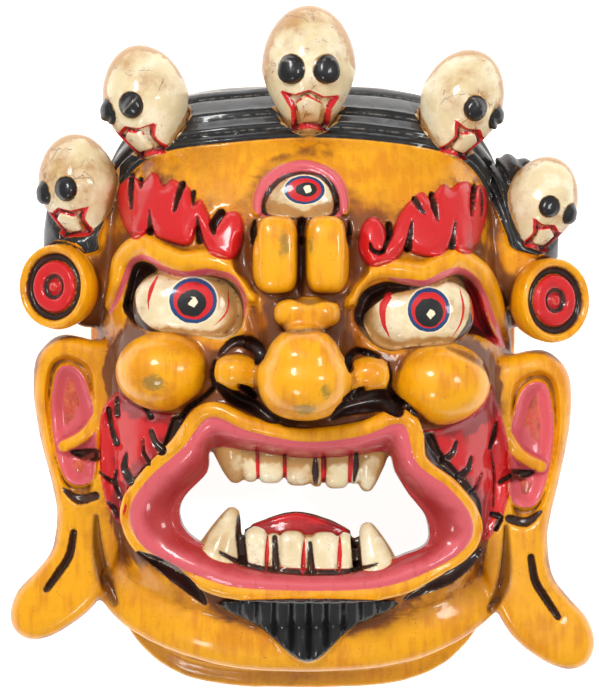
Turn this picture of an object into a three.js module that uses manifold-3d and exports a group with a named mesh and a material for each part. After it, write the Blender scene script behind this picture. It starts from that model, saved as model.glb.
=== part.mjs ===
// Cham dance mask: a wrathful three-eyed face crowned with five skulls, carved from one block of
// wood. It lies on its back rim. X runs to the viewer's right, Y to the crown, Z out of the face,
// and all sizes are in millimetres.
import * as THREE from 'three';
import { mergeVertices } from 'three/addons/utils/BufferGeometryUtils.js';
import Module from 'manifold-3d';

const wasm = await Module();
wasm.setup();

// ---- driving dimensions -------------------------------------------------------------------------
const HEAD = { x: 1, halfWidth: 122, crown: 153, chin: 190, depth: 104 };
const RIM_MARK = 2; // profile radius that stands for the rim's own outline
const RIM = { halfWidth: 125, crown: 155, chin: 200, thickness: 13 };
const HOLLOW = { x: 1, halfWidth: 107, crown: 138, chin: 174, depth: 74 };
const OUTLINE_POWER = 3.6; // squareness of the head seen from the front
const DOME_POWER = 2.2; // fullness of the head seen from the side
const SKULL = {
  radii: [26, 36, 27], eyeSpread: 9, eyeDepth: 22.5, eyeTurn: 19, teethRise: -22, teethDepth: 16,
};
const EARRING_RADIUS = 25;
const EAR_THICKNESS = 26;
const EAR_ROOT = { x: 118, level: 46, slope: 0.36 };
const EARRINGS = [{ at: [-142, 36, 44], turn: -34 }, { at: [146, 28, 44], turn: 34 }];
const BEARD = { left: -45, right: 54, top: -145, tip: -182, ridges: 10, front: 86, slope: 0.75 };
const LIP_SPREAD = 0.58;
const LIP_SLOPE = 8;
const LIP_HEIGHT = 12;
const TOOTH_SETBACK = 13;
const ROOT = 16; // how deep a carved roll is rooted
const CLEAR = 240; // reach of the cutting tools past the mask

// ---- surfaces -----------------------------------------------------------------------------------
const power = (value, exponent) => Math.abs(value) ** exponent;

// Share of the way from the middle of a dome to its outline, at a place seen from the front.
function reach(dome, x, y) {
  const across = (x - dome.x) / dome.halfWidth;
  const along = y / (y > 0 ? dome.crown : dome.chin);
  return (power(across, OUTLINE_POWER) + power(along, OUTLINE_POWER)) ** (1 / OUTLINE_POWER);
}

// Height of the skin above the back rim.
function skin(x, y) {
  const share = Math.min(reach(HEAD, x, y), 1);
  return HEAD.depth * (1 - share ** DOME_POWER) ** (1 / DOME_POWER);
}

// Share of the way to the outline at which a dome has the height of its rim.
const rimShare = (dome, rim) => (1 - (rim.thickness / dome.depth) ** DOME_POWER) ** (1 / DOME_POWER);

// Level of the ears: they slope back from the sides of the face.
const earLevel = (x) => EAR_ROOT.level - EAR_ROOT.slope * (Math.abs(x) - EAR_ROOT.x);

// ---- solids -------------------------------------------------------------------------------------
function solid(geometry) {
  const bare = geometry.index ? geometry.clone() : geometry;
  bare.deleteAttribute('normal');
  bare.deleteAttribute('uv');
  const merged = mergeVertices(bare, 1e-3);
  return new wasm.Manifold(new wasm.Mesh({
    numProp: 3,
    vertProperties: Float32Array.from(merged.attributes.position.array),
    triVerts: Uint32Array.from(merged.index.array),
  }));
}

const joined = (solids) => solids.reduce((whole, piece) => whole.add(piece));

// The outer skin of a joined solid: air pockets sealed between its pieces are left filled.
const withoutPockets = (whole) => whole.decompose()
  .reduce((largest, piece) => (piece.volume() > largest.volume() ? piece : largest));

// Moves every vertex of a geometry to the place that a function gives for it.
function shaped(geometry, place) {
  const position = geometry.attributes.position;
  const vertex = new THREE.Vector3();
  for (let i = 0; i < position.count; i += 1) {
    vertex.fromBufferAttribute(position, i);
    position.setXYZ(i, ...place(vertex).toArray());
  }
  return geometry;
}

// A domed form: a squarish outline and a rounded front. Its foot is either a flat base with the
// rim standing out round it, or a straight wall that runs down past the base.
function domeSolid(dome, { around, rings, rim, wallBottom = 0 }) {
  const surfaceLevel = (share) => dome.depth * (1 - share ** DOME_POWER) ** (1 / DOME_POWER);
  const profile = rim
    ? [[0, 0], [RIM_MARK, 0], [RIM_MARK, rim.thickness], [rimShare(dome, rim), rim.thickness]]
    : [[0, wallBottom], [1, wallBottom], [1, 0]];
  for (let i = 1; i < rings; i += 1) {
    const share = Math.cos((i / rings) * (Math.PI / 2));
    profile.push([share, surfaceLevel(share)]);
  }
  profile.push([0, dome.depth]);
  const lathe = new THREE.LatheGeometry(profile.map(([r, z]) => new THREE.Vector2(r, z)), around);
  return solid(shaped(lathe, ({ x, y, z }) => {
    const radius = Math.hypot(x, z) || 1;
    const cosine = x / radius;
    const sine = -z / radius;
    const stretch = (power(cosine, OUTLINE_POWER) + power(sine, OUTLINE_POWER) || 1)
      ** (-1 / OUTLINE_POWER);
    const onRim = radius > RIM_MARK - 0.5;
    const edge = onRim ? rim : dome;
    const share = onRim ? 1 : radius;
    return new THREE.Vector3(
      dome.x + edge.halfWidth * share * stretch * cosine,
      (sine > 0 ? edge.crown : edge.chin) * share * stretch * sine,
      y,
    );
  }));
}

// An egg or a rounded block. Squareness 2 is an ellipsoid, 4 is nearly a box.
function ball({ at, radii, turn = [0, 0, 0], squareness = 2, detail = [10, 6], form }) {
  const turned = new THREE.Euler(...turn.map(THREE.MathUtils.degToRad), 'ZYX');
  return solid(shaped(new THREE.SphereGeometry(1, ...detail), (vertex) => {
    const norm = (power(vertex.x, squareness) + power(vertex.y, squareness)
      + power(vertex.z, squareness)) ** (1 / squareness);
    vertex.divideScalar(norm);
    if (form) form(vertex);
    vertex.set(vertex.x * radii[0], vertex.y * radii[1], vertex.z * radii[2]);
    return vertex.applyEuler(turned).add(new THREE.Vector3(...at));
  }));
}

// A ball that sits on the skin, its middle raised by lift.
const lump = ({ at: [x, y], lift = 0, ...rest }) => ball({ at: [x, y, skin(x, y) + lift], ...rest });

// A carved roll along a path on the skin: a ball drawn out between the path's ends, with its
// underside rooted deep in the wood.
function roll({ path, width, height, lift = 0, ground = skin, taper = 0, detail = [4, 5] }) {
  const curve = new THREE.CatmullRomCurve3(path.map(([x, y]) => new THREE.Vector3(x, y, 0)));
  return solid(shaped(new THREE.SphereGeometry(1, ...detail), ({ x, y, z }) => {
    const share = (y + 1) / 2;
    const point = curve.getPoint(share);
    const tangent = curve.getTangent(share);
    const half = width * (1 - taper * share);
    const rise = z > 0 ? z * height : z * ROOT;
    return new THREE.Vector3(
      point.x + tangent.y * x * half,
      point.y - tangent.x * x * half,
      ground(point.x, point.y) + lift + rise,
    );
  }));
}

// A prism of an outline drawn from the front.
function prism(points, back, front, { smooth = true, bevel = 0, steps = 3 } = {}) {
  const outline = points.map(([x, y]) => new THREE.Vector2(x, y));
  const shape = new THREE.Shape(smooth
    ? new THREE.CatmullRomCurve3(outline.map(({ x, y }) => new THREE.Vector3(x, y, 0)), true)
      .getPoints(outline.length * steps).slice(0, -1).map(({ x, y }) => new THREE.Vector2(x, y))
    : outline);
  const geometry = new THREE.ExtrudeGeometry(shape, {
    depth: front - back - 2 * bevel,
    bevelEnabled: bevel > 0,
    bevelSize: bevel,
    bevelOffset: -bevel,
    bevelThickness: bevel,
    bevelSegments: 1,
    curveSegments: 1,
  });
  return geometry.translate(0, 0, back + bevel);
}

// ---- head ---------------------------------------------------------------------------------------
const head = () => domeSolid(HEAD, { around: 40, rings: 6, rim: RIM });

// Combed layers of hair between the hairline and the edge of the crown.
function hair() {
  const front = [[-119, 62], [-111, 92], [-84, 119], [-41, 124], [6, 127], [52, 125], [90, 117],
    [117, 84], [125, 60]];
  const edge = [[-121, 70], [-114, 105], [-90, 138], [-45, 149], [6, 152], [52, 150], [92, 136],
    [117, 104], [125, 70]];
  return [0.1, 0.6].map((share) => roll({
    path: front.map(([x, y], i) => [x + (edge[i][0] - x) * share, y + (edge[i][1] - y) * share]),
    width: 6,
    height: 6,
    lift: -3,
    detail: [4, 12],
  }));
}

// ---- face ---------------------------------------------------------------------------------------
function nose() {
  return [
    lump({ at: [2, -13], radii: [26, 29, 34], lift: 22, detail: [10, 7] }),
    lump({ at: [3, 17], radii: [19, 13, 17], lift: 6, detail: [8, 5] }),
    lump({ at: [-37, -14], radii: [13.5, 12.5, 17], lift: 6, detail: [8, 4] }),
    lump({ at: [39, -15], radii: [13.5, 12.5, 17], lift: 6, detail: [8, 4] }),
    lump({ at: [-14.5, 53], radii: [12.5, 22, 14], lift: 4, squareness: 2.6,
      detail: [8, 4] }),
    lump({ at: [14.5, 52], radii: [11.5, 22, 14], lift: 4, squareness: 2.6,
      detail: [8, 4] }),
  ];
}

const noseHollows = () => [
  roll({ path: [[-47, -3], [-38, 3], [-26, 1], [-22, -7]], width: 4, height: 9, lift: 17 }),
  roll({ path: [[26, -14], [26, -4], [36, 2], [47, -3]], width: 3.5, height: 9, lift: 17 }),
  roll({ path: [[-50, -20], [-33, -30], [-12, -42]], width: 5, height: 10, lift: 4 }),
  roll({ path: [[15, -43], [38, -33], [52, -32]], width: 6, height: 10, lift: 4 }),
];

function eyes() {
  return [
    lump({ at: [-62, 27], radii: [32, 20, 22], lift: -11, detail: [12, 5] }),
    lump({ at: [63, 21], radii: [32, 20, 22], lift: -11, detail: [12, 5] }),
    lump({ at: [0.5, 88], radii: [25, 16, 14], lift: -3, detail: [10, 4] }),
  ];
}

function lids() {
  const lid = (path) => roll({ path, width: 8, height: 10, lift: 1, detail: [4, 9] });
  return [
    lid([[-114, 24], [-94, 54], [-64, 51], [-36, 42], [-29, 18]]),
    lid([[29, 14], [38, 37], [64, 46], [94, 50], [119, 1]]),
    roll({ path: [[-27, 80], [-21, 98], [0, 106], [22, 98], [27, 82]], width: 5, height: 7,
      lift: 2, detail: [4, 6] }),
  ];
}

// Each eyebrow is a row of flame locks that ends in a curl beside the nose.
function brows() {
  const locks = [
    [[-96, 60], [-104, 80], [-104, 100]],
    [[-90, 62], [-91, 82], [-94, 100]],
    [[-78, 59], [-83, 82], [-85, 105]],
    [[-68, 58], [-69, 78], [-69, 97]],
    [[72, 52], [70, 72], [71, 90]],
    [[82, 53], [84, 76], [84, 96]],
    [[94, 55], [93, 76], [95, 98]],
    [[98, 54], [106, 74], [107, 96]],
  ];
  const curls = [
    [[-60, 88], [-55, 67], [-46, 56], [-36, 56], [-33, 68], [-40, 76], [-44, 68]],
    [[66, 85], [57, 68], [50, 54], [40, 49], [33, 58], [38, 70], [45, 64]],
  ];
  const shared = { height: 9, lift: 3 };
  return [
    ...locks.map((path) => roll({ path, width: 8, ...shared, detail: [4, 4] })),
    ...curls.map((path) => roll({ path, width: 7, ...shared, detail: [4, 9] })),
  ];
}

const cheeks = () => [
  lump({ at: [-79, -13], radii: [28, 23, 27], lift: 2, detail: [10, 6] }),
  lump({ at: [80, -20], radii: [29, 24, 27], lift: 2, detail: [10, 6] }),
];

// Red flames that lick down the sides of the face from under the cheeks.
const flames = () => [
  [[-86, -36], [-97, -62], [-99, -92], 13],
  [[-110, -38], [-115, -62], [-108, -97], 7],
  [[-72, -42], [-80, -58], [-88, -76], 9],
  [[108, -22], [118, -62], [108, -104], 7],
  [[84, -42], [99, -62], [103, -104], 13],
  [[74, -46], [84, -60], [95, -80], 9],
].map(([start, middle, tip, width]) => roll({
  path: [start, middle, tip], width, height: 7, lift: 1, taper: 0.3,
}));

// ---- mouth --------------------------------------------------------------------------------------
// Each pair is a point of the lip's outer edge and the point of the opening across from it.
const LIP = [
  [[2, -53], [2, -62]], [[-30, -47], [-30, -58]], [[-52, -39], [-51, -57]],
  [[-68, -57], [-54, -71]], [[-88, -75], [-67, -85]], [[-100, -94], [-70, -96]],
  [[-90, -116], [-64, -108]], [[-58, -132], [-44, -119]], [[-28, -139], [-20, -126]],
  [[40, -139], [34, -127]], [[78, -126], [59, -119]], [[99, -112], [73, -112]],
  [[98, -96], [72, -97]], [[86, -80], [62, -84]], [[66, -65], [54, -71]],
  [[58, -43], [49, -59]], [[34, -50], [29, -61]],
];

const closedCurve = (points) => new THREE.CatmullRomCurve3(
  points.map(([x, y]) => new THREE.Vector3(x, y, 0)),
  true,
);

// The lips: a tube bent round the mouth, as wide as the gap between the two outlines.
function lips() {
  const outer = closedCurve(LIP.map(([edge]) => edge));
  const inner = closedCurve(LIP.map(([, opening]) => opening));
  return solid(shaped(new THREE.TorusGeometry(2, 1, 5, 30), ({ x, y, z }) => {
    const share = (Math.atan2(y, x) / (2 * Math.PI) + 1) % 1;
    const across = Math.hypot(x, y) - 2;
    const from = inner.getPoint(share);
    const to = outer.getPoint(share);
    const point = from.clone().lerp(to, LIP_SPREAD * (1 + across));
    const middle = from.lerp(to, 0.5);
    const ground = (skin(middle.x, middle.y) + skin(point.x, point.y)) / 2;
    return point.setZ(ground + LIP_SLOPE * across + LIP_HEIGHT * z);
  }));
}

const mouthOpening = () => solid(prism(
  LIP.map(([, opening]) => opening),
  -CLEAR,
  CLEAR,
  { steps: 2 },
));

// A tooth is a six-sided peg from its root to its tip, set behind the lip.
function tooth([rootX, rootY], [tipX, tipY], rootRadius, tipRadius) {
  const length = Math.hypot(tipX - rootX, tipY - rootY);
  const [middleX, middleY] = [(rootX + tipX) / 2, (rootY + tipY) / 2];
  const peg = new THREE.CylinderGeometry(tipRadius, rootRadius, length, 6);
  peg.rotateZ(Math.atan2(rootX - tipX, tipY - rootY));
  return solid(peg.translate(middleX, middleY, skin(middleX, middleY) - TOOTH_SETBACK));
}

const teeth = () => [
  ...[[-17, 9], [-1, 9], [13, 8], [25, 8]].map(([x, r]) => tooth([x, -54], [x, -79], r, r * 0.75)),
  ...[[-27, 7], [-14, 8], [0, 9], [14, 9]].map(([x, r]) => tooth([x, -134], [x, -106], r, r * 0.75)),
  tooth([-40, -48], [-37, -79], 14, 2),
  tooth([42, -50], [37, -85], 14, 2),
  tooth([-48, -126], [-38, -91], 15, 2),
  tooth([47, -136], [37, -101], 15, 2),
];

const tongue = () => ball({ at: [-2, -110, 63], radii: [38, 22, 25], detail: [8, 5] });

const upperLipRoll = () => roll({
  path: [[-68, -50], [-52, -33], [-30, -41], [2, -47], [34, -44], [58, -36], [72, -54]],
  width: 7,
  height: 9,
  lift: 4,
  detail: [4, 9],
});

// ---- jaw and beard ------------------------------------------------------------------------------
const jawRoll = () => roll({
  path: [[-114, -96], [-98, -140], [-50, -163], [2, -168], [60, -162], [102, -138], [117, -100]],
  width: 20,
  height: 10,
  lift: -3,
  detail: [6, 10],
});

const jawHollows = () => [
  roll({ path: [[-95, -119], [-75, -130], [-53, -146]], width: 5, height: 8, lift: 8 }),
  roll({ path: [[58, -145], [81, -134], [106, -118]], width: 4, height: 8, lift: 8 }),
];

// A small pointed beard: a sloping slab of upright ridges, cut to a triangle.
function beard() {
  const { left, right, top, tip, ridges, front, slope } = BEARD;
  const ridge = (right - left) / ridges;
  const comb = [[left, -30], [right, -30]];
  for (let i = 2 * ridges; i >= 0; i -= 1) comb.push([left + (i * ridge) / 2, i % 2 ? 0 : -4]);
  const slab = shaped(prism(comb, -top - 1, 1 - tip, { smooth: false }), ({ x, y, z }) => (
    new THREE.Vector3(x, -z, y + front - slope * (z + top))));
  const triangle = prism([[left, top], [2, tip], [right, top]], 0, CLEAR, { smooth: false });
  return solid(slab).intersect(solid(triangle));
}

// ---- ears ---------------------------------------------------------------------------------------
const EAR = [[104, 0], [140, 8], [155, -6], [156, -37], [150, -64], [143, -98], [146, -118],
  [158, -132], [170, -150], [167, -167], [154, -171], [138, -164], [118, -146], [104, -110],
  [102, -50]];
const CONCHA = { at: [134, -45], radii: [12, 37, 13], turn: 18 };
const TRAGUS = [[116, -45], [127, -52], [140, -58]];
const SLIT = [[132, -105], [134, -123], [149, -143]];

// Both ears share one drawing. The viewer's right one is a little longer and hangs lower.
function ear(side) {
  const { longer, drop, out } = side > 0 ? { longer: 1.05, drop: -9, out: 1.5 }
    : { longer: 1, drop: 0, out: 0 };
  const place = ([x, y]) => [side * (x + out), y * longer + drop];
  const outline = EAR.map(place);
  if (side < 0) outline.reverse();
  const body = solid(shaped(
    prism(outline, 0, EAR_THICKNESS, { bevel: 4, steps: 2 }),
    (vertex) => vertex.setZ(vertex.z - EAR_THICKNESS + earLevel(vertex.x)),
  ));
  const [conchaX, conchaY] = place(CONCHA.at);
  const concha = ball({ at: [conchaX, conchaY, earLevel(conchaX) + 2], radii: CONCHA.radii,
    turn: [0, side * CONCHA.turn, 0], detail: [8, 6] });
  const slit = roll({ path: SLIT.map(place), width: 3, height: 9, ground: earLevel, lift: 2 });
  const tragus = roll({ path: TRAGUS.map(place), width: 6, height: 9, ground: earLevel, lift: -4,
    detail: [4, 4] });
  return body.subtract(concha).subtract(slit).add(tragus);
}

// The wood behind each ear stud and outer skull, which ties them to the side of the head.
const sideBlock = (side) => ball({ at: [side * 124, 62, 22], radii: [25, 50, 26], detail: [8, 5] });

// A round ear stud: a rim, a sunk ring, a raised disc and a small boss.
function earring({ at, turn }) {
  const profile = [[0, -9], [0.85, -9], [1, 0], [0.92, 5.5], [0.76, 1.5], [0.62, 1.5],
    [0.5, 5], [0, 6]];
  const lathe = new THREE.LatheGeometry(
    profile.map(([share, level]) => new THREE.Vector2(share * EARRING_RADIUS, level)),
    12,
  );
  const turned = new THREE.Euler(0, THREE.MathUtils.degToRad(turn), 0);
  return solid(shaped(lathe, ({ x, y, z }) => new THREE.Vector3(x, -z, y)
    .applyEuler(turned).add(new THREE.Vector3(...at))));
}

// ---- skulls -------------------------------------------------------------------------------------
const SKULLS = [
  { at: [-130, 94, 38], size: 0.88, turn: [0, -38, 9] },
  { at: [-90, 143, 50], size: 0.95, turn: [0, -42, 14] },
  { at: [4.5, 161, 62], size: 1.06, turn: [0, 0, 0] },
  { at: [93, 142, 50], size: 0.92, turn: [0, 42, -20] },
  { at: [140, 84, 38], size: 0.8, turn: [0, 34, -18] },
];

// The jaw of a skull is narrower than the brain case.
function narrowJaw(vertex) {
  const below = Math.max(0, -vertex.y);
  vertex.x *= 1 - 0.3 * below;
  vertex.z *= 1 - 0.18 * below;
}

function skull({ at, size, turn }) {
  const scaled = (lengths) => lengths.map((length) => length * size);
  const turned = new THREE.Euler(...turn.map(THREE.MathUtils.degToRad), 'ZYX');
  const place = (x, y, z) => new THREE.Vector3(x, y, z).multiplyScalar(size)
    .applyEuler(turned).add(new THREE.Vector3(...at)).toArray();
  const eye = (side) => ball({
    at: place(side * SKULL.eyeSpread, 0, SKULL.eyeDepth),
    turn: [0, turn[1] + side * SKULL.eyeTurn, turn[2]],
    radii: scaled([7.6, 7.8, 5]),
    detail: [7, 4],
  });
  const teethPlate = solid(shaped(new THREE.BoxGeometry(20, 17, 14), ({ x, y, z }) => (
    new THREE.Vector3(...place(x * (1 + y / 40), y + SKULL.teethRise, z + SKULL.teethDepth)))));
  return ball({ at, radii: scaled(SKULL.radii), turn, form: narrowJaw, detail: [11, 7] })
    .add(eye(-1)).add(eye(1)).add(teethPlate);
}

// ---- the whole mask -----------------------------------------------------------------------------
function mask() {
  const outside = joined([
    head(), ...hair(), jawRoll(), ...cheeks(), ...eyes(), ...lids(), ...brows(), ...nose(),
    ...flames(), upperLipRoll(), beard(), ear(-1), ear(1),
    ...EARRINGS.map(earring), sideBlock(-1), sideBlock(1), ...SKULLS.map(skull),
  ]);
  const hollows = joined([mouthOpening(), ...noseHollows(), ...jawHollows()]);
  const carved = outside.subtract(hollows).add(joined([lips(), ...teeth(), tongue()]));
  const inside = domeSolid(HOLLOW, { around: 26, rings: 5, wallBottom: -CLEAR });
  const underneath = solid(new THREE.BoxGeometry(4 * CLEAR, 4 * CLEAR, CLEAR)
    .translate(0, 0, -CLEAR / 2));
  return withoutPockets(carved.subtract(inside).subtract(underneath));
}

function geometryOf(manifold) {
  const { vertProperties, triVerts, numProp } = manifold.getMesh();
  const geometry = new THREE.BufferGeometry();
  geometry.setAttribute('position', new THREE.Float32BufferAttribute(vertProperties, numProp));
  geometry.setIndex(Array.from(triVerts));
  geometry.computeVertexNormals();
  return geometry;
}

const paintedWood = new THREE.MeshStandardMaterial({
  color: 0xd9960f,
  roughness: 0.4,
  metalness: 0,
});

const body = new THREE.Mesh(geometryOf(mask()), paintedWood);
body.name = 'mask';

const group = new THREE.Group();
group.add(body);

export default group;
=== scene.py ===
"""Cham dance mask: the carved and painted finish of the one-piece wooden mask, as it lies on its
back rim. X runs to the viewer's right, Y to the crown and Z out of the face. Lengths in this script
are millimetres, and every mesh is written in metres."""
import math

import bpy
import numpy as np
from mathutils import Euler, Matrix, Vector, noise
from mathutils.bvhtree import BVHTree


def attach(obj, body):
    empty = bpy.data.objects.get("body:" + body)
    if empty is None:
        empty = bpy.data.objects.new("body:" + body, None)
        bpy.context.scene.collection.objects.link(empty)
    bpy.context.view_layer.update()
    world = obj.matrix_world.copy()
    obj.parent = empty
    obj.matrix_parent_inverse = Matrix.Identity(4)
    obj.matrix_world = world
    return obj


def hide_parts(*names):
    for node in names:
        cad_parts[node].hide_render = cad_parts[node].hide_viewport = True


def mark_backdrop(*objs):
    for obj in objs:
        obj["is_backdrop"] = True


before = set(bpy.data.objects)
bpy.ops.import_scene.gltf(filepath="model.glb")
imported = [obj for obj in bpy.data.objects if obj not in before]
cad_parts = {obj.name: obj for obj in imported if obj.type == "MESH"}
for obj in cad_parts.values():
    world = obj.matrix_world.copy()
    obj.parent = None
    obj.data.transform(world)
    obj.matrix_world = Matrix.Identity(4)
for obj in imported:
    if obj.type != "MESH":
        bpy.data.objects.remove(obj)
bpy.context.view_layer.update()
bpy.ops.object.select_all(action="DESELECT")

MM = 0.001

# ---- driving sizes ------------------------------------------------------------------------------
OUTLINE_POWER = 3.6  # squareness of the head seen from the front
DOME_POWER = 2.2  # fullness of the head seen from the side
HEAD = dict(x=1, half_width=122, crown=153, chin=190, depth=104)
RIM = dict(x=1, half_width=125, crown=155, chin=200, depth=13)
HOLLOW = dict(x=1, half_width=107, crown=138, chin=174, depth=74)
ROOT = 16  # how deep a carved roll is rooted
ROUGH_GRAIN = 1.5  # grid of the rough carving
FINE_GRAIN = 1.0  # grid of the finished carving
FACES_AT_MOST = 172000
EAR_THICKNESS = 26
SOCKET_DEPTH = 17
THIRD_SOCKET_DEPTH = 4
FLAME_BED_DEPTH = 3  # the cheeks are cut away by this under the flames
BROW_EDGE_RISE = 4.5
BROW_MIDDLE_RISE = 2.5
FLAME_RISE = 3
DARK_CORNER_DEPTH = 4
HAIR_RISE = 2.4
HAIR_GROOVE = 2.6
BEARD_RISE = 6.5
BEARD_GROOVE = 3.4
BEARD_PITCH = 9.9
GAP_LIMIT = 8.0  # surfaces further off than this aren't looked for

# ---- drawn outlines -----------------------------------------------------------------------------
HAIR_FRONT = [(-121, 56), (-118, 66), (-110, 84), (-98, 103), (-79, 114), (-41, 119), (6, 122),
              (52, 119), (85, 113), (101, 103), (113, 82), (119, 68), (126, 57)]
HAIR_EDGE = [(-123, 57), (-124, 72), (-122, 98), (-104, 126), (-74, 148), (-30, 154), (6, 156),
             (46, 155), (86, 145), (112, 118), (124, 98), (127, 72), (128, 57)]
HAIR_BACK = [(-160, 57), (-160, 110), (-110, 170), (6, 185), (110, 170), (160, 110), (160, 57)]
HAIR = HAIR_FRONT + HAIR_BACK[::-1]
HAIR_MARKS = (0.13, 0.4, 0.76)  # grooves, as shares of the way across the hair

EYE_LEFT = [(-104, 24), (-101.5, 36), (-98, 48), (-92, 51), (-85, 49), (-79, 44), (-64, 41.5),
            (-50, 42.5), (-40, 39), (-34, 32), (-32, 20), (-36, 9), (-46, 5), (-60, 7), (-74, 9),
            (-86, 9), (-94, 12), (-100, 17)]
EYE_RIGHT = [(31, 14), (31, 25), (36, 34), (48, 39), (60, 37), (70, 36), (80, 40), (90, 43.5),
             (98, 41), (104, 33), (108, 20), (113, 9), (117, 0), (107, 5), (97, 8), (86, 2),
             (64, 0), (52, -2), (41, 2)]
IVORY_LEFT = [(-81, 46), (-93.4, 38), (-95.2, 27.6), (-91.6, 17), (-82.7, 10.4), (-73, 9.6),
              (-60, 7.4), (-46, 5.2), (-37, 9.4), (-33.6, 18.7), (-35.4, 28.8), (-42, 37.4),
              (-50.6, 41), (-63.7, 42), (-74.4, 44)]
IVORY_RIGHT = [(38.1, 21.4), (44.7, 26.8), (51.4, 30.8), (62.8, 33.5), (76, 37), (83, 40.3),
               (89.5, 41.5), (94.2, 38), (96.9, 30), (96.2, 18), (92.2, 10), (86.2, 3.2),
               (76, 1.6), (62.8, 1), (52.8, -1), (42.7, 2.6), (37, 11), (35.8, 18)]
LID_LEFT = [(-111, 21), (-106.4, 29.4), (-101.3, 42), (-98, 49.4), (-92, 52.6), (-85, 50.2),
            (-80, 46.2), (-72.6, 43.6), (-64.8, 42.6), (-54.8, 44), (-46, 42.4), (-39.9, 40.8),
            (-34.8, 34.6), (-32, 27), (-32.4, 18.5)]
LID_RIGHT = [(50, 40), (60, 38.4), (69.5, 37.2), (76, 39.3), (82.8, 42.6), (89.5, 44.8), (96, 43),
             (101.8, 37.6), (106, 31), (109.4, 22.6), (114.4, 11), (118.6, 1)]
# The pink edges of the upper lids: path and half widths.
LIDS = [(LID_LEFT, [1, 1.6, 1.8, 1.7, 1.6, 1.5, 1.7, 1.7, 1.7, 1.8, 1.8, 1.6, 1.3, 1, 0.5]),
        (LID_RIGHT, [0.4, 1.6, 1.8, 1.8, 1.9, 2, 1.9, 1.7, 1.6, 1.6, 1.5, 1])]
RED_CORNER = [(94, 43), (101.5, 37), (105.5, 30), (109, 19), (112, 10), (119, 0), (109, 4.6),
              (104.9, 10.5), (99.5, 15), (98, 23.4), (97, 31.5), (94.5, 38)]
THIRD_EYE = [(-27.4, 80), (-26, 92), (-17, 103), (1, 108.6), (18, 103.5), (25.5, 94), (27, 81),
             (20, 75.2), (0, 74.6), (-20, 75.2)]
THIRD_RING = [(-23, 80), (-20.4, 90), (-12, 98.6), (1, 102), (14, 99), (20.6, 91), (22, 81),
              (17, 75), (0, 74), (-18, 75)]
THIRD_LENS = [(-20.5, 80), (-17, 89.5), (-9, 97), (1.5, 100), (11, 97.5), (17, 90), (18.5, 80),
              (14, 75.8), (0, 75), (-15, 75.8)]
# Centre, half width and height, and the middle and size of the pupil and of the spot in it.
IRISES = [
    dict(at=(-61.9, 27.4), half=(13.6, 13.1), pupil=(-62.6, 26, 8.4, 8), spot=(-62.4, 26.6, 3.4)),
    dict(at=(73.3, 22.1), half=(12.1, 12.7), pupil=(73.4, 20.6, 8.2, 8.4), spot=(74.1, 19.6, 3.1)),
    dict(at=(1.9, 90.9), half=(11.6, 8.2), pupil=(3, 91.2, 6.3, 4.2), spot=(3.7, 91.4, 2.6)),
]

BROW_LEFT = [(-103.9, 97), (-107, 92), (-106.5, 82), (-103, 71), (-96.7, 62.8), (-90, 65.5),
             (-87, 69), (-83.5, 64), (-75, 60.5), (-66.6, 58.9), (-62, 61.5), (-59.6, 69),
             (-56, 60), (-49.9, 52.6), (-38.8, 51.1), (-33.4, 60), (-33, 72), (-36.5, 78.4),
             (-43.5, 78), (-48, 73), (-50.6, 70.2), (-52.7, 76.5), (-57.5, 86), (-61.5, 84),
             (-64, 92.5), (-69, 95.5), (-75, 97.9), (-79.4, 94.5), (-82.2, 100), (-86.7, 102.1),
             (-91.7, 97), (-97.8, 100.4)]
BROW_RIGHT = [(33.4, 66), (32.5, 57), (36.5, 49), (42, 46.4), (50, 48.6), (56, 52), (60.5, 57),
              (64, 54.5), (73, 52.2), (80, 53.4), (86.5, 57.5), (92, 54.6), (98.5, 54.8),
              (102.5, 60), (107, 73), (109, 84), (107.8, 92), (104, 95.6), (100.6, 93.4),
              (97, 97), (90.5, 96), (87, 93), (82, 95), (77.6, 91), (74.4, 87.4), (69.5, 90.4),
              (64, 86.5), (58, 80), (53.6, 71.5), (50.6, 64), (48.8, 68), (45, 74.4),
              (40, 75.6), (36, 72.4)]
FLAME_LEFT = [(-116.5, -38), (-112, -30), (-106, -25), (-98, -31), (-88, -35.4), (-76, -37),
              (-67, -38), (-65.5, -47), (-70, -57), (-80, -64.6), (-90, -72.5), (-99, -78),
              (-100.4, -90), (-103.5, -103), (-109, -99), (-114, -88), (-117, -72),
              (-117.5, -54)]
FLAME_RIGHT = [(69, -48.6), (80, -45.5), (94, -40), (104, -32), (111, -20.5), (113, -28),
               (117.5, -41), (121, -58), (122.6, -76), (120, -90), (116, -101), (107, -112.6),
               (103.6, -106), (101.6, -95), (95, -82), (84.5, -72.5), (75, -62)]
# Sunk corners beside the flames, painted dark as painted shadow.
SHADOW_LEFT = [(-67.8, -37), (-65.8, -43.5), (-67.8, -54), (-76.5, -62.8), (-89, -72.5),
             (-99, -79), (-91, -68), (-82, -59.4), (-77.4, -48), (-74, -39)]
SHADOW_RIGHT = [(69.5, -49.6), (75.8, -48.6), (80.8, -58.5), (88.4, -68), (93, -73), (101.6, -83.5),
              (105.4, -94), (104.6, -112), (101.6, -100), (97, -87), (85, -75.6), (74.5, -64)]

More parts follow.
